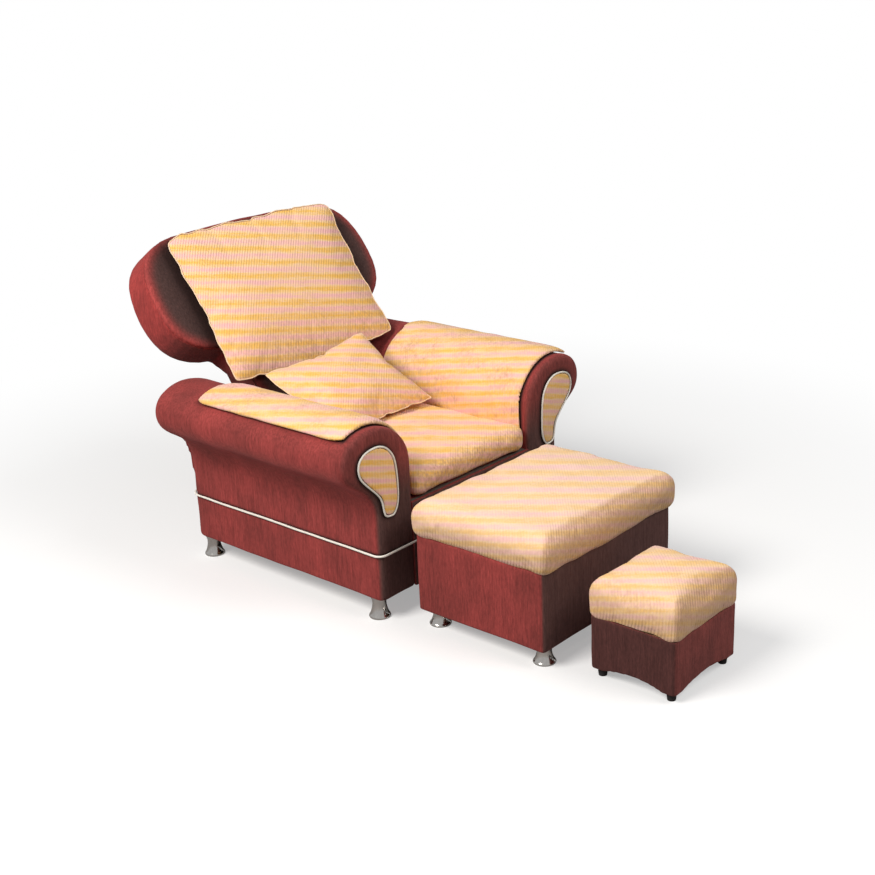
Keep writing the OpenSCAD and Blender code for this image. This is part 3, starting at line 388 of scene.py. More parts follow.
def blow_up(piece, pressure, frames, stiffness, bending):
    """Where the points of the cover go when it is blown up as cloth."""
    only(piece)
    cloth = piece.modifiers.new("cover", "CLOTH")
    cloth.settings.quality = 5
    cloth.settings.tension_stiffness = stiffness
    cloth.settings.compression_stiffness = stiffness
    cloth.settings.shear_stiffness = stiffness / 4
    cloth.settings.bending_stiffness = bending
    cloth.settings.tension_damping = 10
    cloth.settings.compression_damping = 10
    cloth.settings.air_damping = 4
    cloth.settings.use_pressure = True
    cloth.settings.uniform_pressure_force = pressure
    cloth.settings.effector_weights.gravity = 0.0
    cloth.collision_settings.use_collision = False
    cloth.point_cache.frame_start = 1
    cloth.point_cache.frame_end = frames
    for number in range(1, frames + 1):
        scene.frame_set(number)
    moved = piece.evaluated_get(bpy.context.evaluated_depsgraph_get())
    end = np.empty(len(piece.data.vertices) * 3)
    moved.data.vertices.foreach_get("co", end)
    piece.modifiers.remove(cloth)
    scene.frame_set(1)
    return end.reshape(-1, 3)


def pad_out(piece, pressure, most, frames=16, stiffness=15.0):
    """Blows the cover up over its filling, with no point moving further than most, and keeps its box."""
    start = points_of(piece)
    step = blow_up(piece, pressure, frames, stiffness, 0.3) - start
    length = np.linalg.norm(step, axis=1, keepdims=True)
    step *= most * np.tanh(length / most) / np.maximum(length, 1e-9)
    end = start + step
    low, high = start.min(0), start.max(0)
    end = low + (end - end.min(0)) * (high - low) / (end.max(0) - end.min(0))
    set_points(piece, end)


def finish_cloth(piece, material, body, levels, replaced, shaded_side=(0, -1, 0), low=None, high=None,
                 marked=None):
    """Smooth shading, material, a mark of painted shade, and the piece's place on its body.
    The shade is painted on what faces the given side, less so by high[2] from height high[0] up to high[1],
    and from height low[1] down to low[0], or as marked says."""
    only(piece)
    if levels:
        rounder = piece.modifiers.new("round", "SUBSURF")
        rounder.levels = rounder.render_levels = levels
        bpy.ops.object.modifier_apply(modifier=rounder.name)
    bpy.ops.object.shade_smooth()
    # Painted shade: points whose normals turn to the given side are marked, eased in.
    facing = np.clip((normals_of(piece) @ np.array(shaded_side, float) - 0.25) / 0.6, 0, 1)
    shade = facing * facing * (3 - 2 * facing)
    if high:
        shade = shade * np.interp(points_of(piece)[:, 2], high[:2], (1, high[2]))
    if low:
        shade = np.maximum(shade, np.clip((low[1] - points_of(piece)[:, 2]) / (low[1] - low[0]), 0, 1))
    if marked is not None:
        shade = marked
    # The mark of painted shade is kept on the points for the materials to read.
    painted_shade = piece.data.attributes.new("painted_shade", "FLOAT", "POINT")
    painted_shade.data.foreach_set("value", shade)
    piece.data.materials.clear()
    piece.data.materials.append(material)
    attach(piece, body)
    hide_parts(*replaced)


def cut_pad(side):
    """The pad over one arm, its outer edge cut back to where the chenille ends, its ends drawn out a little."""
    edge_height, outer_half = 0.617, 0.45
    front_end, front_drawn, front_reach = -0.008, 0.042, 0.15
    rear_end, rear_drawn, rear_reach = 0.574, 0.02, 0.1
    pad = welded_copy(f"arm_pad_{side}", f"{side}_arm_pad")
    shape = bmesh.new()
    shape.from_mesh(pad.data)
    outer = [f for f in shape.faces if abs(f.calc_center_median().x) > outer_half]
    edges = list({e for f in outer for e in f.edges})
    corners = list({v for f in outer for v in f.verts})
    bmesh.ops.bisect_plane(shape, geom=outer + edges + corners, plane_co=(0, 0, edge_height),
                           plane_no=(0, 0, -1), clear_outer=True)
    bmesh.ops.holes_fill(shape, edges=[e for e in shape.edges if e.is_boundary])
    bmesh.ops.triangulate(shape, faces=shape.faces)
    for v in shape.verts:
        v.co.y -= front_drawn * max(0, 1 - (v.co.y - front_end) / front_reach)
        beyond_crest = min(1, max(0, (abs(v.co.x) - 0.4) / 0.03))
        v.co.y += rear_drawn * max(0, 1 - (rear_end - v.co.y) / rear_reach) * beyond_crest
    bmesh.ops.recalc_face_normals(shape, faces=shape.faces)
    shape.to_mesh(pad.data)
    shape.free()
    return pad


def draw_tail(piece, side):
    """Draws in the lower outer edge of a teardrop, which gives it its narrow tail."""
    drawn_in, tail_level, tail_spread = 0.015, 0.72, 0.15
    low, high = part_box(f"{side}_facing_piping")
    inner, outer = sorted((abs(low[0]), abs(high[0])))
    spots = points_of(piece)
    out = np.clip((np.abs(spots[:, 0]) - inner) / (0.55 * (outer - inner)), 0, 1)
    level = (high[2] - spots[:, 2]) / (high[2] - low[2])
    spots[:, 0] -= np.sign(spots[:, 0]) * drawn_in * out * np.exp(-((level - tail_level) / tail_spread) ** 2)
    set_points(piece, spots)


# The shade colour is painted shade for the faces marked as shaded.
red_velour = velour("red_velour", lit=(0.33, 0.052, 0.047), dark=(0.2, 0.036, 0.032),
                    shaded_side=(0.097, 0.048, 0.042), sheen=0.22)
pads = {side: cut_pad(side) for side in ("left", "right")}
cords = {side: welded_copy(f"teardrop_piping_{side}", f"{side}_facing_piping") for side in pads}
for side, cord in cords.items():
    draw_tail(cord, side)

for side in ("left", "right"):
    arm = welded_copy(f"arm_{side}", f"{side}_arm_cover")
    keep_outside(arm, (0, 0, -1))
    remesh(arm, voxel=0.007)
    relax(arm, 0.5, times=3)
    crumple(arm, size=0.11, depth=0.0022)
    # The presses sink grooves and mark them for painted shade beside the pad and the piping.
    press(arm, pads[side], reach=0.008, depth=0.004)
    press(arm, cords[side], reach=0.009, depth=0.002)
    press(arm, frame["nodes"]["base_piping"], reach=0.005, depth=0.0015)
    # Painted shade on the front faces, less of it up on the roll.
    finish_cloth(arm, red_velour, "chair_base", 1, [f"{side}_arm_cover"],
                 high=(0.4, 0.52, 0.35))

# --- Front border and rear panel --------------------------------------------
# Low padded panels between the arms, dressed in the same velour. The front
# one turns over the edge of the deck as a lip, so that no deck shows, and the
# rear one is tucked against the arms' rounded corners.

def draw_out(piece, axis, low, high):
    """Widens a piece along one axis, by low at its lower end and high at its upper end."""
    spots = points_of(piece)
    ends = spots[:, axis].min(), spots[:, axis].max()
    spots[:, axis] = np.interp(spots[:, axis], ends, (ends[0] - low, ends[1] + high))
    set_points(piece, spots)


lip_height, lip_front, lip_turn = 0.345, -0.0715, (0, 0.034, 0.004)
for name, tuck in (("front_border", 0.009), ("rear_panel", 0.022)):
    panel = welded_copy(f"{name}_soft", name)
    draw_out(panel, 0, low=tuck, high=tuck)
    if name == "front_border":
        spots = points_of(panel)
        lip = (spots[:, 2] > lip_height) & (spots[:, 1] > lip_front)
        spots[lip] += lip_turn
        set_points(panel, spots)
    remesh(panel, voxel=0.003)
    relax(panel, 0.5, times=2)
    crumple(panel, size=0.09, depth=0.0012)
    finish_cloth(panel, red_velour, "chair_base", 0, [name])

# --- Arm pads ---------------------------------------------------------------
# Chenille strips laid over the crest and down the inner wall, loose enough
# along their outer edge to stand off the arm, where a groove in the arm is
# also darkened with painted shade. The chenille is woven with soft yellow
# and pink bands and a fine upright rib.

band_rise = Vector((0.27895541, 0.1959242, 0.94010509))
band_run = Vector((0.66422491, -0.74637749, -0.04154399))
band_lean = Vector((-0.69353381, -0.63603015, 0.33834378))
rib_pitch = 0.0078


def banded_chenille(name, pitch, rub, lean=0.0, painted_top_light=0.0, painted_side_shade=0.0):
    """Bands of yellow and pink that wander a little, over a fine rib, browner where the pile is rubbed,
    and browner still with painted shade where the points are marked as shaded.
    In the photograph the bands lie level across the picture on every piece, so their planes are fixed
    square to its upright, band_rise, and leaned towards band_lean by lean; they don't follow the view.
    wash is painted light that makes the top paler, soil is painted shade that makes the sides browner."""
    material, tree, shader = cloth_material(name)
    place = add_node(tree, "ShaderNodeTexCoord").outputs["Object"]
    way = (band_rise + band_lean * lean).normalized()
    along, across = (add_node(tree, "ShaderNodeVectorMath", [(0, place), (1, tuple(axis))],
                              operation="DOT_PRODUCT").outputs["Value"] for axis in (way, band_run))
    sway = streaks(tree, 1.0, 2.0, (3.5, 3.5, 3.5))
    lane = combine(tree, "ADD", along, stretch_range(tree, sway, 0.0, 1.0, -0.004, 0.004))
    wave = add_node(tree, "ShaderNodeMath", [(0, combine(tree, "MULTIPLY", lane, 2 * math.pi / pitch))],
                    operation="SINE").outputs[0]
    flat = add_node(tree, "ShaderNodeCombineXYZ", [(0, combine(tree, "MULTIPLY", across, 14)),
                                                   (1, combine(tree, "MULTIPLY", along, 120))])
    wisp = add_node(tree, "ShaderNodeTexNoise", [("Vector", flat.outputs[0]), ("Scale", 1.0), ("Detail", 4.0),
                                                 ("Roughness", 0.65)]).outputs["Fac"]
    strength = stretch_range(tree, sway, 0.35, 0.65, 0.7, 1.15)
    wave = combine(tree, "ADD", combine(tree, "MULTIPLY", wave, strength),
                   stretch_range(tree, wisp, 0.3, 0.7, -0.6, 0.6))
    tuft = streaks(tree, 1.0, 4.0, (190, 190, 75))
    wave = combine(tree, "ADD", wave, stretch_range(tree, tuft, 0.3, 0.7, -0.35, 0.35))
    ramp = add_node(tree, "ShaderNodeValToRGB", [("Fac", stretch_range(tree, wave, -1.3, 1.3))])
    stops = ramp.color_ramp.elements
    stops[0].position, stops[0].color = 0.1, (0.89, 0.49, 0.47, 1)
    stops[1].position, stops[1].color = 0.9, (0.88, 0.51, 0.11, 1)
    middle = stops.new(0.5)
    middle.color = (0.91, 0.61, 0.34, 1)
    rib = add_node(tree, "ShaderNodeMath", [(0, combine(tree, "MULTIPLY", across, 2 * math.pi / rib_pitch))],
                   operation="SINE").outputs[0]
    rib_shade = stretch_range(tree, rib, -1.0, 1.0, 0.96, 1.015)
    painted_shade = add_node(tree, "ShaderNodeAttribute", attribute_name="painted_shade").outputs["Fac"]
    curl = streaks(tree, 1.0, 4.0, (95, 95, 60))
    patch = stretch_range(tree, streaks(tree, 1.0, 2.0, (9, 9, 9)), 0.4, 0.68, 0.0, rub)
    # Brown curls where the pile is rubbed at random, and more of them as painted shade where marked.
    wear_and_shade = combine(tree, "ADD", patch, combine(tree, "MULTIPLY", painted_shade, 0.7))
    wear_and_shade = add_node(tree, "ShaderNodeMath", [(0, stretch_range(tree, curl, 0.36, 0.72)), (1, wear_and_shade)],
                    operation="MULTIPLY", use_clamp=True).outputs[0]
    grain = add_node(tree, "ShaderNodeCombineColor", [(0, rib_shade), (1, rib_shade), (2, rib_shade)]).outputs[0]
    colour = blend_colours(tree, 1.0, ramp.outputs["Color"], grain, "MULTIPLY")
    if painted_top_light or painted_side_shade:
        # Painted light: the top is made paler, the shaded faces half as much.
        paler = stretch_range(tree, painted_shade, 0.0, 1.0, painted_top_light, painted_top_light * 0.5)
        colour = blend_colours(tree, paler, colour, (0.93, 0.81, 0.71, 1))
        # Painted shade: the shaded faces are made browner.
        browner = stretch_range(tree, painted_shade, 0.0, 1.0, 0.0, painted_side_shade)
        colour = blend_colours(tree, browner, colour, (0.5, 0.29, 0.14, 1))
    colour = blend_colours(tree, wear_and_shade, colour, (0.52, 0.29, 0.17, 1))
    tree.links.new(colour, shader.inputs["Base Color"])
    shader.inputs["Sheen Weight"].default_value = 0.12
    shader.inputs["Sheen Roughness"].default_value = 0.5
    height = combine(tree, "ADD", rib, combine(tree, "MULTIPLY", curl, 2.0))
    bump = add_node(tree, "ShaderNodeBump", [("Height", height), ("Strength", 0.35), ("Distance", 0.0014)])
    tree.links.new(bump.outputs[0], shader.inputs["Normal"])
    return material


cream_chenille = banded_chenille("cream_chenille", pitch=0.035, rub=0.3)
pad_chenille = banded_chenille("pad_chenille", pitch=0.038, rub=0.85)

plump, lies_on = 0.005, 0.006
for side, pad in pads.items():
    remesh(pad, voxel=0.004)
    relax(pad, 0.5, times=3)
    spots, ways = points_of(pad), normals_of(pad)
    gap = distance_to(frame["nodes"][f"{side}_arm_cover"], spots)
    set_points(pad, spots + ways * (plump * np.clip(gap / lies_on, 0, 1) ** 2)[:, None])
    relax(pad, 0.5, times=3)
    crumple(pad, size=0.06, depth=0.0015)
    finish_cloth(pad, pad_chenille, "chair_base", 0, [f"{side}_arm_pad"])

# --- Teardrop panels --------------------------------------------------------
# A padded drop of the pale cloth on the front of each arm, edged all round
# with white piping. The same piping runs round the base.

def felted(name, lit, dark):
    material, tree, shader = cloth_material(name)
    fluff = streaks(tree, 1.0, 5.0, (260, 260, 260))
    tree.links.new(blend_colours(tree, fluff, (*dark, 1), (*lit, 1)), shader.inputs["Base Color"])
    bump = add_node(tree, "ShaderNodeBump", [("Height", fluff), ("Strength", 0.4), ("Distance", 0.001)])
    tree.links.new(bump.outputs[0], shader.inputs["Normal"])
    return material


white_cord = felted("white_cord", lit=(0.92, 0.89, 0.83), dark=(0.74, 0.69, 0.6))

for side in ("left", "right"):
    drop = welded_copy(f"teardrop_{side}", f"{side}_facing")
    remesh(drop, voxel=0.0035)
    draw_tail(drop, side)
    relax(drop, 0.5, times=4)
    pad_out(drop, pressure=3.0, most=0.003, frames=8)
    # Painted shade on the faces that turn downward.
    finish_cloth(drop, cream_chenille, "chair_base", 0, [f"{side}_facing"],
                 shaded_side=(0, 0, -1))
    finish_cloth(cords[side], white_cord, "chair_base", 2, [f"{side}_facing_piping"])

cord = welded_copy("base_piping_soft", "base_piping")
remesh(cord, voxel=0.0015)
relax(cord, 0.5, times=3)
spots = points_of(cord)
dip, dip_length = 0.0016, 0.12
spots[:, 2] += [dip * noise.noise(Vector(spot) / dip_length) for spot in spots]
set_points(cord, spots)
finish_cloth(cord, white_cord, "chair_base", 0, ["base_piping"])

# --- Seat cushion -----------------------------------------------------------
# Foam block in a loose chenille cover, crowned on top and rolled over its
# front edge.

seat = welded_copy("seat_cushion_soft", "seat_cushion")
remesh(seat, voxel=0.008)
relax(seat, 0.5, times=6)
pad_out(seat, pressure=3.0, most=0.008)
crumple(seat, size=0.09, depth=0.0025)
# Painted shade on the front faces and low round the front roll.
finish_cloth(seat, cream_chenille, "chair_base", 1, ["seat_cushion"], low=(0.36, 0.43))

# --- Back -------------------------------------------------------------------
# Winged slab padded with foam. Its boxing is the red velour, made brighter
# as painted light, which rolls over the front edge; inside that its face is a
# thin pad whose velour is painted much darker as shade, but for a lit rim.

# The boxing's copy of the velour is brighter as painted light; the face's copy is painted dark as shade but for
# its rim.
lit_boxing_velour = velour("lit_boxing_velour", lit=(0.385, 0.05, 0.045), dark=(0.245, 0.037, 0.034),
                       shaded_side=(0.14, 0.036, 0.032), sheen=0.25)
shaded_face_velour = velour("shaded_face_velour", lit=(0.4, 0.06, 0.054), dark=(0.26, 0.044, 0.04),
                     shaded_side=(0.075, 0.04, 0.036), sheen=0.14)
back_lean = math.radians(34.5)
face_way = np.array((0, -math.cos(back_lean), math.sin(back_lean)))

boxing = welded_copy("back_boxing", "back_rear_shell")
keep_outside(boxing)
remesh(boxing, voxel=0.007)
largest_part(boxing)
relax(boxing, 0.5, times=2)
crumple(boxing, size=0.1, depth=0.002)
neck_half, neck_top = 0.2618, 0.5  # drawn in so that it clears the pawls when the back is right down
spots = points_of(boxing)
neck = (spots[:, 2] < neck_top) & (np.abs(spots[:, 0]) < neck_half + 0.004)
spots[neck, 0] = np.clip(spots[neck, 0], -neck_half, neck_half)
set_points(boxing, spots)
# Painted shade on faces that turn down and on the low neck.
finish_cloth(boxing, lit_boxing_velour, "backrest", 1, ["back_rear_shell"],
             shaded_side=(0, -0.2, -1), low=(0.6, 0.69))

face = welded_copy("back_face", "back_front_pad")
remesh(face, voxel=0.004)
relax(face, 0.5, times=2)
crumple(face, size=0.1, depth=0.002)
# Marks a broad painted shadow of the cushion on the face, with no dent.
press(face, frame["nodes"]["back_cushion"], reach=0.05, depth=0.0)
spots, ways = points_of(face), normals_of(face)
rim = KDTree(len(spots))
for k in np.flatnonzero(np.abs(ways @ face_way) < 0.5):
    rim.insert(spots[k], int(k))
rim.balance()
inward = np.array([rim.find(spot)[2] for spot in spots])
# The face is painted dark as shade, but for a lit red rim of this width round its edge.
lit_rim = 0.023
finish_cloth(face, shaded_face_velour, "backrest", 0, ["back_front_pad"],
             marked=1 - np.exp(-(inward / lit_rim) ** 2))

# --- Rear flap --------------------------------------------------------------
# Cloth flap that closes the opening behind the seat. It is sewn to the foot
# of the back and tacked along the rear panel, with slack for the recline.

flap_width, flap_length, flap_thickness = 0.513, 0.147, 0.002
sewn_y, sewn_z, run, fall = 0.674, 0.441, 0.1295, 0.0405
bpy.ops.mesh.primitive_grid_add(x_subdivisions=80, y_subdivisions=24, size=1, location=(0, 0, 0))
flap = bpy.context.object
flap.name = "rear_flap"
spots = points_of(flap)
across, down = spots[:, 0].copy(), spots[:, 1] + 0.5
slack = np.sin(np.pi * down)
pucker = np.array([noise.noise(Vector((u * 9, v * 2, 4.0))) for u, v in zip(across, down)])
spots[:, 0] = across * flap_width
spots[:, 1] = sewn_y + run * down
spots[:, 2] = sewn_z - fall * down - slack * (0.012 + 0.006 * pucker)
set_points(flap, spots)
only(flap)
thick = flap.modifiers.new("thick", "SOLIDIFY")
thick.thickness = flap_thickness
bpy.ops.object.modifier_apply(modifier=thick.name)
bpy.ops.object.shade_smooth()
for attribute in ("painted_shade", "contact_shade"):
    flap.data.attributes.new(attribute, "FLOAT", "POINT")
flap.data.materials.append(red_velour)
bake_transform(flap)

# --- Back cushion -----------------------------------------------------------
# Two panels of chenille sewn edge to edge and filled with fibre: blown up as
# cloth, then pressed flat where it lies on the back.

back_chenille = banded_chenille("back_chenille", pitch=0.045, rub=0.25, lean=0.12)
seam_cord = felted("seam_cord", lit=(0.93, 0.72, 0.5), dark=(0.8, 0.55, 0.34))


def sewn_panels(name, wide, long, cell):
    """Two flat panels joined round their edge, across X and along Z, and the corners of that edge in order."""
    seam_gap, crown = 0.0006, 0.012
    shape = bmesh.new()
    m, n = round(wide / cell), round(long / cell)
    rows = {-1: [], 1: []}
    for i in range(m + 1):
        for s in (-1, 1):
            rows[s].append([])
        for j in range(n + 1):
            u, v = 2 * i / m - 1, 2 * j / n - 1
            edge = i in (0, m) or j in (0, n)
            rise = 0 if edge else seam_gap + crown * (1 - u * u) * (1 - v * v)
            front = shape.verts.new((u * wide / 2, -rise, v * long / 2))
            rows[-1][i].append(front)
            rows[1][i].append(front if edge else shape.verts.new((u * wide / 2, rise, v * long / 2)))
    for s in (-1, 1):
        for i in range(m):
            for j in range(n):
                ring = [rows[s][i][j], rows[s][i + 1][j], rows[s][i + 1][j + 1], rows[s][i][j + 1]]
                shape.faces.new(ring if s < 0 else ring[::-1])
    shape.verts.index_update()
    front = rows[-1]
    rim = [front[i][0] for i in range(m)] + [front[m][j] for j in range(n)]
    rim += [front[i][n] for i in range(m, 0, -1)] + [front[0][j] for j in range(n, 0, -1)]
    rim = [corner.index for corner in rim]
    return new_piece(name, shape), rim


def welt(name, piece, rim, radius, body):
    """A thin rolled seam round the edge of a cushion, through the given points of it."""
    path = bpy.data.curves.new(name, "CURVE")
    path.dimensions = "3D"
    path.bevel_depth = radius
    path.bevel_resolution = 2
    spline = path.splines.new("POLY")
    spline.points.add(len(rim) - 1)
    spline.use_cyclic_u = True
    for point, spot in zip(spline.points, points_of(piece)[rim]):
        point.co = (*spot, 1)
    seam = bpy.data.objects.new(name, path)
    scene.collection.objects.link(seam)
    only(seam)
    bpy.ops.object.convert(target="MESH")
    seam = bpy.context.object
    bpy.ops.object.shade_smooth()
    seam.data.materials.append(seam_cord)
    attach(seam, body)


def fill_panels(piece, wide, long, front, rear, flat, place, wave, lift, sag, blunt):
    """Filled to the given fullness, its edge wavy and bowed out by lift above and sag below,
    flattened behind, and put in its place."""
    start = points_of(piece)
    end = blow_up(piece, pressure=5.0, frames=26, stiffness=15.0, bending=0.25)
    share = (front + rear) / np.ptp(end[:, 1])
    spots = start + (end - start) * min(share, 1)
    thick = end[:, 1]
    spots[:, 1] = np.where(thick < 0, thick * front / -thick.min(), thick * rear / thick.max())
    spots[:, 0] *= wide / np.ptp(spots[:, 0])
    spots[:, 2] *= long / np.ptp(spots[:, 2])
    u, v = spots[:, 0] / (wide / 2), spots[:, 2] / (long / 2)
    spots[:, 2] += lift * np.clip(v, 0, 1) ** 3 * (1 - u ** 4) - sag * np.clip(-v, 0, 1) ** 3 * (1 - u * u)
    tips = np.abs(u * v) ** 8
    spots[:, 0] -= np.sign(u) * blunt * tips
    spots[:, 2] -= np.sign(v) * blunt * tips
    rim = np.clip(np.maximum(np.abs(u), np.abs(v)) * 4 - 3, 0, 1)
    ripple_size = 0.05
    for axis, shift in ((0, 7.0), (2, 3.0)):
        ripple = np.array([noise.noise(Vector((x / ripple_size, shift, z / ripple_size))) for x, _, z in spots])
        spots[:, axis] += wave * rim * ripple
    if flat:
        edge = 0.004
        spots[:, 1] = flat - np.logaddexp(0, (flat - spots[:, 1]) / edge) * edge
    turned = np.array(place.to_3x3())
    set_points(piece, spots @ turned.T + np.array(place.translation))


lean = (Matrix.Translation((0, 0.588559, 0.636)) @ Matrix.Rotation(-back_lean, 4, "X")
        @ Matrix.Translation((0, 0.008, 0.262)))
back_cushion, rim = sewn_panels("back_cushion_soft", wide=0.79, long=0.57, cell=0.009)
fill_panels(back_cushion, wide=0.748, long=0.53, front=0.046, rear=0.055, flat=0.0365, place=lean,
            wave=0.009, lift=0.034, sag=0.03, blunt=0.0145)
welt("back_cushion_welt", back_cushion, rim, 0.0022, "backrest")
# Painted shade on faces that turn down and over the lower part.
finish_cloth(back_cushion, back_chenille, "backrest", 1, ["back_cushion"],
             shaded_side=(0, -0.4, -1), low=(0.62, 0.82))

# --- Lumbar pillow ----------------------------------------------------------
# Loose knife-edged pillow of two chenille panels filled with fibre. It lies on
# the seat against the back, fixed to neither.

pillow_slope, pillow_turn = math.radians(-57), math.radians(-5)
lie = (Matrix.Translation((-0.035, 0.415559, 0.56305)) @ Matrix.Rotation(pillow_slope, 4, "X")
       @ Matrix.Rotation(pillow_turn, 4, "Y"))
pillow, rim = sewn_panels("lumbar_pillow_soft", wide=0.52, long=0.4, cell=0.0085)
fill_panels(pillow, wide=0.492, long=0.366, front=0.068, rear=0.048, flat=None, place=lie,
            wave=0.006, lift=0.004, sag=0.0, blunt=0.006)
welt("lumbar_pillow_welt", pillow, rim, 0.002, "lumbar_pillow")
# Painted shade on faces that turn down and over the lower part.
finish_cloth(pillow, cream_chenille, "lumbar_pillow", 1, ["lumbar_pillow"],
             shaded_side=(0, -0.6, -1), low=(0.47, 0.6))

# --- Ottoman ----------------------------------------------------------------
# Board box dressed in the arms' velour, with a thick boxed cushion of foam.
# The cushion's cover hangs over the edge of the box.

# Its chenille is painted paler on top as light and browner on the sides as shade.
ottoman_chenille = banded_chenille("ottoman_chenille", pitch=0.034, rub=0.2, lean=-0.03, painted_top_light=0.27, painted_side_shade=0.45)
ottoman_top = 0.3


def hem_over(piece, node, drop):
    """Lets a cushion's sides hang over the edge of the box it lies on and hug it, a little lower at mid width."""
    inside_edge, mid_drop, hug = 0.02, 0.4, 0.35
    low, high = (np.array(corner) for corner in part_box(node))
    middle, half = (low + high) / 2, (high - low) / 2
    spots = points_of(piece)
    out = np.abs(spots[:, :2] - middle[:2]) - half[:2]
    outside = np.clip((out.max(1) + inside_edge) / inside_edge, 0, 1)
    share = np.clip((spots[:, 2].max() - spots[:, 2]) / (spots[:, 2].max() - high[2]), 0, 1)
    bow = 1 + mid_drop * np.clip(1 - np.abs(spots[:, 0] - middle[0]) / half[0], 0, 1)
    weight = outside * outside * (3 - 2 * outside) * share
    spots[:, 2] -= drop * weight * bow
    spots[:, :2] -= np.clip(out, 0, None) * np.sign(spots[:, :2] - middle[:2]) * hug * (weight * share)[:, None]
    set_points(piece, spots)


def raise_brim(piece, height, rise):
    """Lets a cover stand a little over the edge of the boards in it."""
    spots = points_of(piece)
    spots[:, 2] += np.where(spots[:, 2] > height - 0.008, rise, 0)
    set_points(piece, spots)


box = welded_copy("ottoman_box", "ottoman_cover")
keep_outside(box, (0, 0, -1), (0, 0, 1))
remesh(box, voxel=0.005)
relax(box, 0.5, times=2)
crumple(box, size=0.12, depth=0.0012)
raise_brim(box, ottoman_top, rise=0.003)
draw_out(box, 0, low=0.008, high=0.006)
# Painted shade on the box's front.
finish_cloth(box, red_velour, "ottoman", 0, ["ottoman_cover"])
top = welded_copy("ottoman_cushion_soft", "ottoman_cushion")
remesh(top, voxel=0.008)
relax(top, 0.5, times=6)
pad_out(top, pressure=3.0, most=0.008)
crumple(top, size=0.09, depth=0.0045)
draw_out(top, 0, low=0.013, high=0.012)
draw_out(top, 1, low=0.007, high=0.0)
hem_over(top, "ottoman_cover", drop=0.013)
# Painted shade on the cushion's front and low round its sides.
finish_cloth(top, ottoman_chenille, "ottoman", 1, ["ottoman_cushion"], low=(0.29, 0.43))

# --- Stool ------------------------------------------------------------------
# Low box with an arched hem and a small thick cushion. Its velour is a darker
# copy of the arms', as painted shade, with more painted shade on its side face.

# Its chenille is painted paler on top as light and browner on the sides as shade.
stool_chenille = banded_chenille("stool_chenille", pitch=0.032, rub=0.35, lean=-0.1, painted_top_light=0.18, painted_side_shade=0.55)
shaded_stool_velour = velour("shaded_stool_velour", lit=(0.24, 0.058, 0.05), dark=(0.15, 0.042, 0.037),
                     shaded_side=(0.078, 0.027, 0.024), sheen=0.2)
stool_top = 0.184
box = welded_copy("stool_box", "stool_cover")
remesh(box, voxel=0.004)
relax(box, 0.5, times=2)
crumple(box, size=0.08, depth=0.0015)
raise_brim(box, stool_top, rise=0.003)
# Painted shade on the box's left side.
finish_cloth(box, shaded_stool_velour, "stool", 0, ["stool_cover"], shaded_side=(-1, 0, 0))
top = welded_copy("stool_cushion_soft", "stool_cushion")
remesh(top, voxel=0.006)
relax(top, 0.5, times=6)
pad_out(top, pressure=3.0, most=0.007)
crumple(top, size=0.07, depth=0.004)
hem_over(top, "stool_cover", drop=0.015)
# Painted shade low round the cushion's sides and on its front.
finish_cloth(top, stool_chenille, "stool", 1, ["stool_cushion"], low=(0.15, 0.32))

# --- Feet -------------------------------------------------------------------
# Trumpet feet turned in steel and chromed, screwed up into the base boards.
# One is turned, then copied and stretched to the height of each.

def metal(name, colour, roughness):
    material = bpy.data.materials.new(name)
    material.use_nodes = True
    tree = material.node_tree
    shader = tree.nodes["Principled BSDF"]
    shader.inputs["Metallic"].default_value = 1.0
    scratch = streaks(tree, 1.0, 4.0, (260, 260, 30))
    tint = stretch_range(tree, scratch, 0.3, 0.7, 0.9, 1.05)
    grain = add_node(tree, "ShaderNodeCombineColor", [(0, tint), (1, tint), (2, tint)]).outputs[0]
    tree.links.new(blend_colours(tree, 1.0, (*colour, 1), grain, "MULTIPLY"), shader.inputs["Base Color"])
    dull = stretch_range(tree, scratch, 0.3, 0.7, roughness * 0.8, roughness * 1.3)
    tree.links.new(dull, shader.inputs["Roughness"])
    return material


chrome = metal("polished_chrome", (0.66, 0.63, 0.6), roughness=0.14)
tall, flare, waist, plate = 0.073, 0.034, 0.02, 0.027
turning = [(flare - 0.001, 0.001), (flare, 0.004), (flare - 0.001, 0.007)]
steps = 17
for k in range(1, steps):
    t = k / steps
    girth = waist + (flare - 0.002 - waist) * (1 - t) ** 2.4 + (plate - waist) * t ** 5
    turning.append((girth, 0.007 + (tall - 0.012) * t))
turning += [(plate, tall - 0.005), (plate, tall - 0.0008), (plate - 0.0008, tall)]
wide, up_to = flare - 0.004, 0.0
bpy.ops.mesh.primitive_circle_add(vertices=64, radius=wide, fill_type="NGON", location=(0, 0, 0))
turned = bpy.context.object
bpy.ops.object.mode_set(mode="EDIT")
bpy.ops.mesh.select_all(action="SELECT")
for radius, height in turning:
    bpy.ops.mesh.extrude_region_move(TRANSFORM_OT_translate={"value": (0, 0, height - up_to)})
    bpy.ops.transform.resize(value=(radius / wide, radius / wide, 1), center_override=(0, 0, height))
    wide, up_to = radius, height
bpy.ops.mesh.select_all(action="SELECT")
bpy.ops.mesh.normals_make_consistent(inside=False)
bpy.ops.object.mode_set(mode="OBJECT")
bpy.ops.object.shade_smooth_by_angle(angle=math.radians(50))
turned.data.materials.append(chrome)
chair_feet = [node for node in frame["nodes"] if node.startswith("foot_") and node != "foot_studs"]
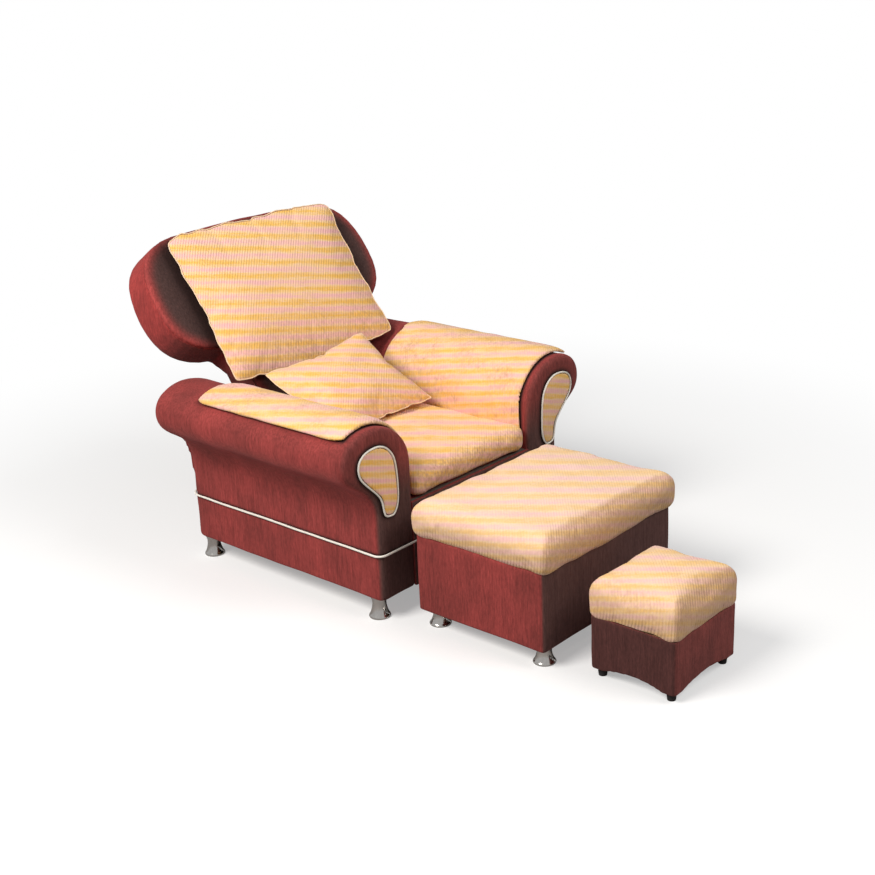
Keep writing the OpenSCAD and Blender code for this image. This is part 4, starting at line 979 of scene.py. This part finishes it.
ottoman_feet = [node for node in frame["nodes"] if node.startswith("ottoman_foot")]
for body, nodes in (("chair_base", chair_feet), ("ottoman", ottoman_feet)):
    for node in nodes:
        low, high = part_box(node)
        foot = turned.copy()
        foot.data = turned.data.copy()
        foot.name = f"turned_{node}"
        scene.collection.objects.link(foot)
        middle = (low[0] + high[0]) / 2, (low[1] + high[1]) / 2, 0
        set_points(foot, points_of(foot) * (1, 1, high[2] / tall) + middle)
        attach(foot, body)
        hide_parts(node)
bpy.data.objects.remove(turned)

# --- The rest of the frame --------------------------------------------------
# Boards, springs, hinges and the stool's small feet keep their solids and get
# their finish: bare pine, zinc plate, felt, black cloth and black plastic.

def timber(name):
    material, tree, shader = cloth_material(name)
    shader.inputs["Roughness"].default_value = 0.6
    grain = streaks(tree, 1.0, 5.0, (60, 6, 60))
    ring = streaks(tree, 1.0, 2.0, (9, 2, 9))
    share = stretch_range(tree, combine(tree, "MULTIPLY", grain, ring), 0.12, 0.42)
    tree.links.new(blend_colours(tree, share, (0.36, 0.2, 0.09, 1), (0.66, 0.46, 0.25, 1)),
                   shader.inputs["Base Color"])
    bump = add_node(tree, "ShaderNodeBump", [("Height", grain), ("Strength", 0.2), ("Distance", 0.0006)])
    tree.links.new(bump.outputs[0], shader.inputs["Normal"])
    return material


finishes = {
    "wood": timber("bare_pine"),
    "steel": metal("zinc_plate", (0.5, 0.51, 0.53), 0.35),
    "chrome": chrome,
    "webbing": felted("deck_cloth", (0.16, 0.12, 0.1), (0.09, 0.07, 0.06)),
    "dust_cloth": felted("black_dust_cloth", (0.035, 0.035, 0.035), (0.012, 0.012, 0.012)),
    "black_plastic": felted("black_foot", (0.04, 0.035, 0.035), (0.02, 0.018, 0.018)),
    "white_piping": white_cord,
    "red_fabric": red_velour,
    "deep_red_fabric": shaded_face_velour,
    "cream_fabric": cream_chenille,
}
slots = {entry["node"]: entry["material_slot"] for entry in frame["record"]["subparts"]}
for name, node in frame["nodes"].items():
    if not node.hide_render:
        node.data.materials.clear()
        node.data.materials.append(finishes[slots[name]])
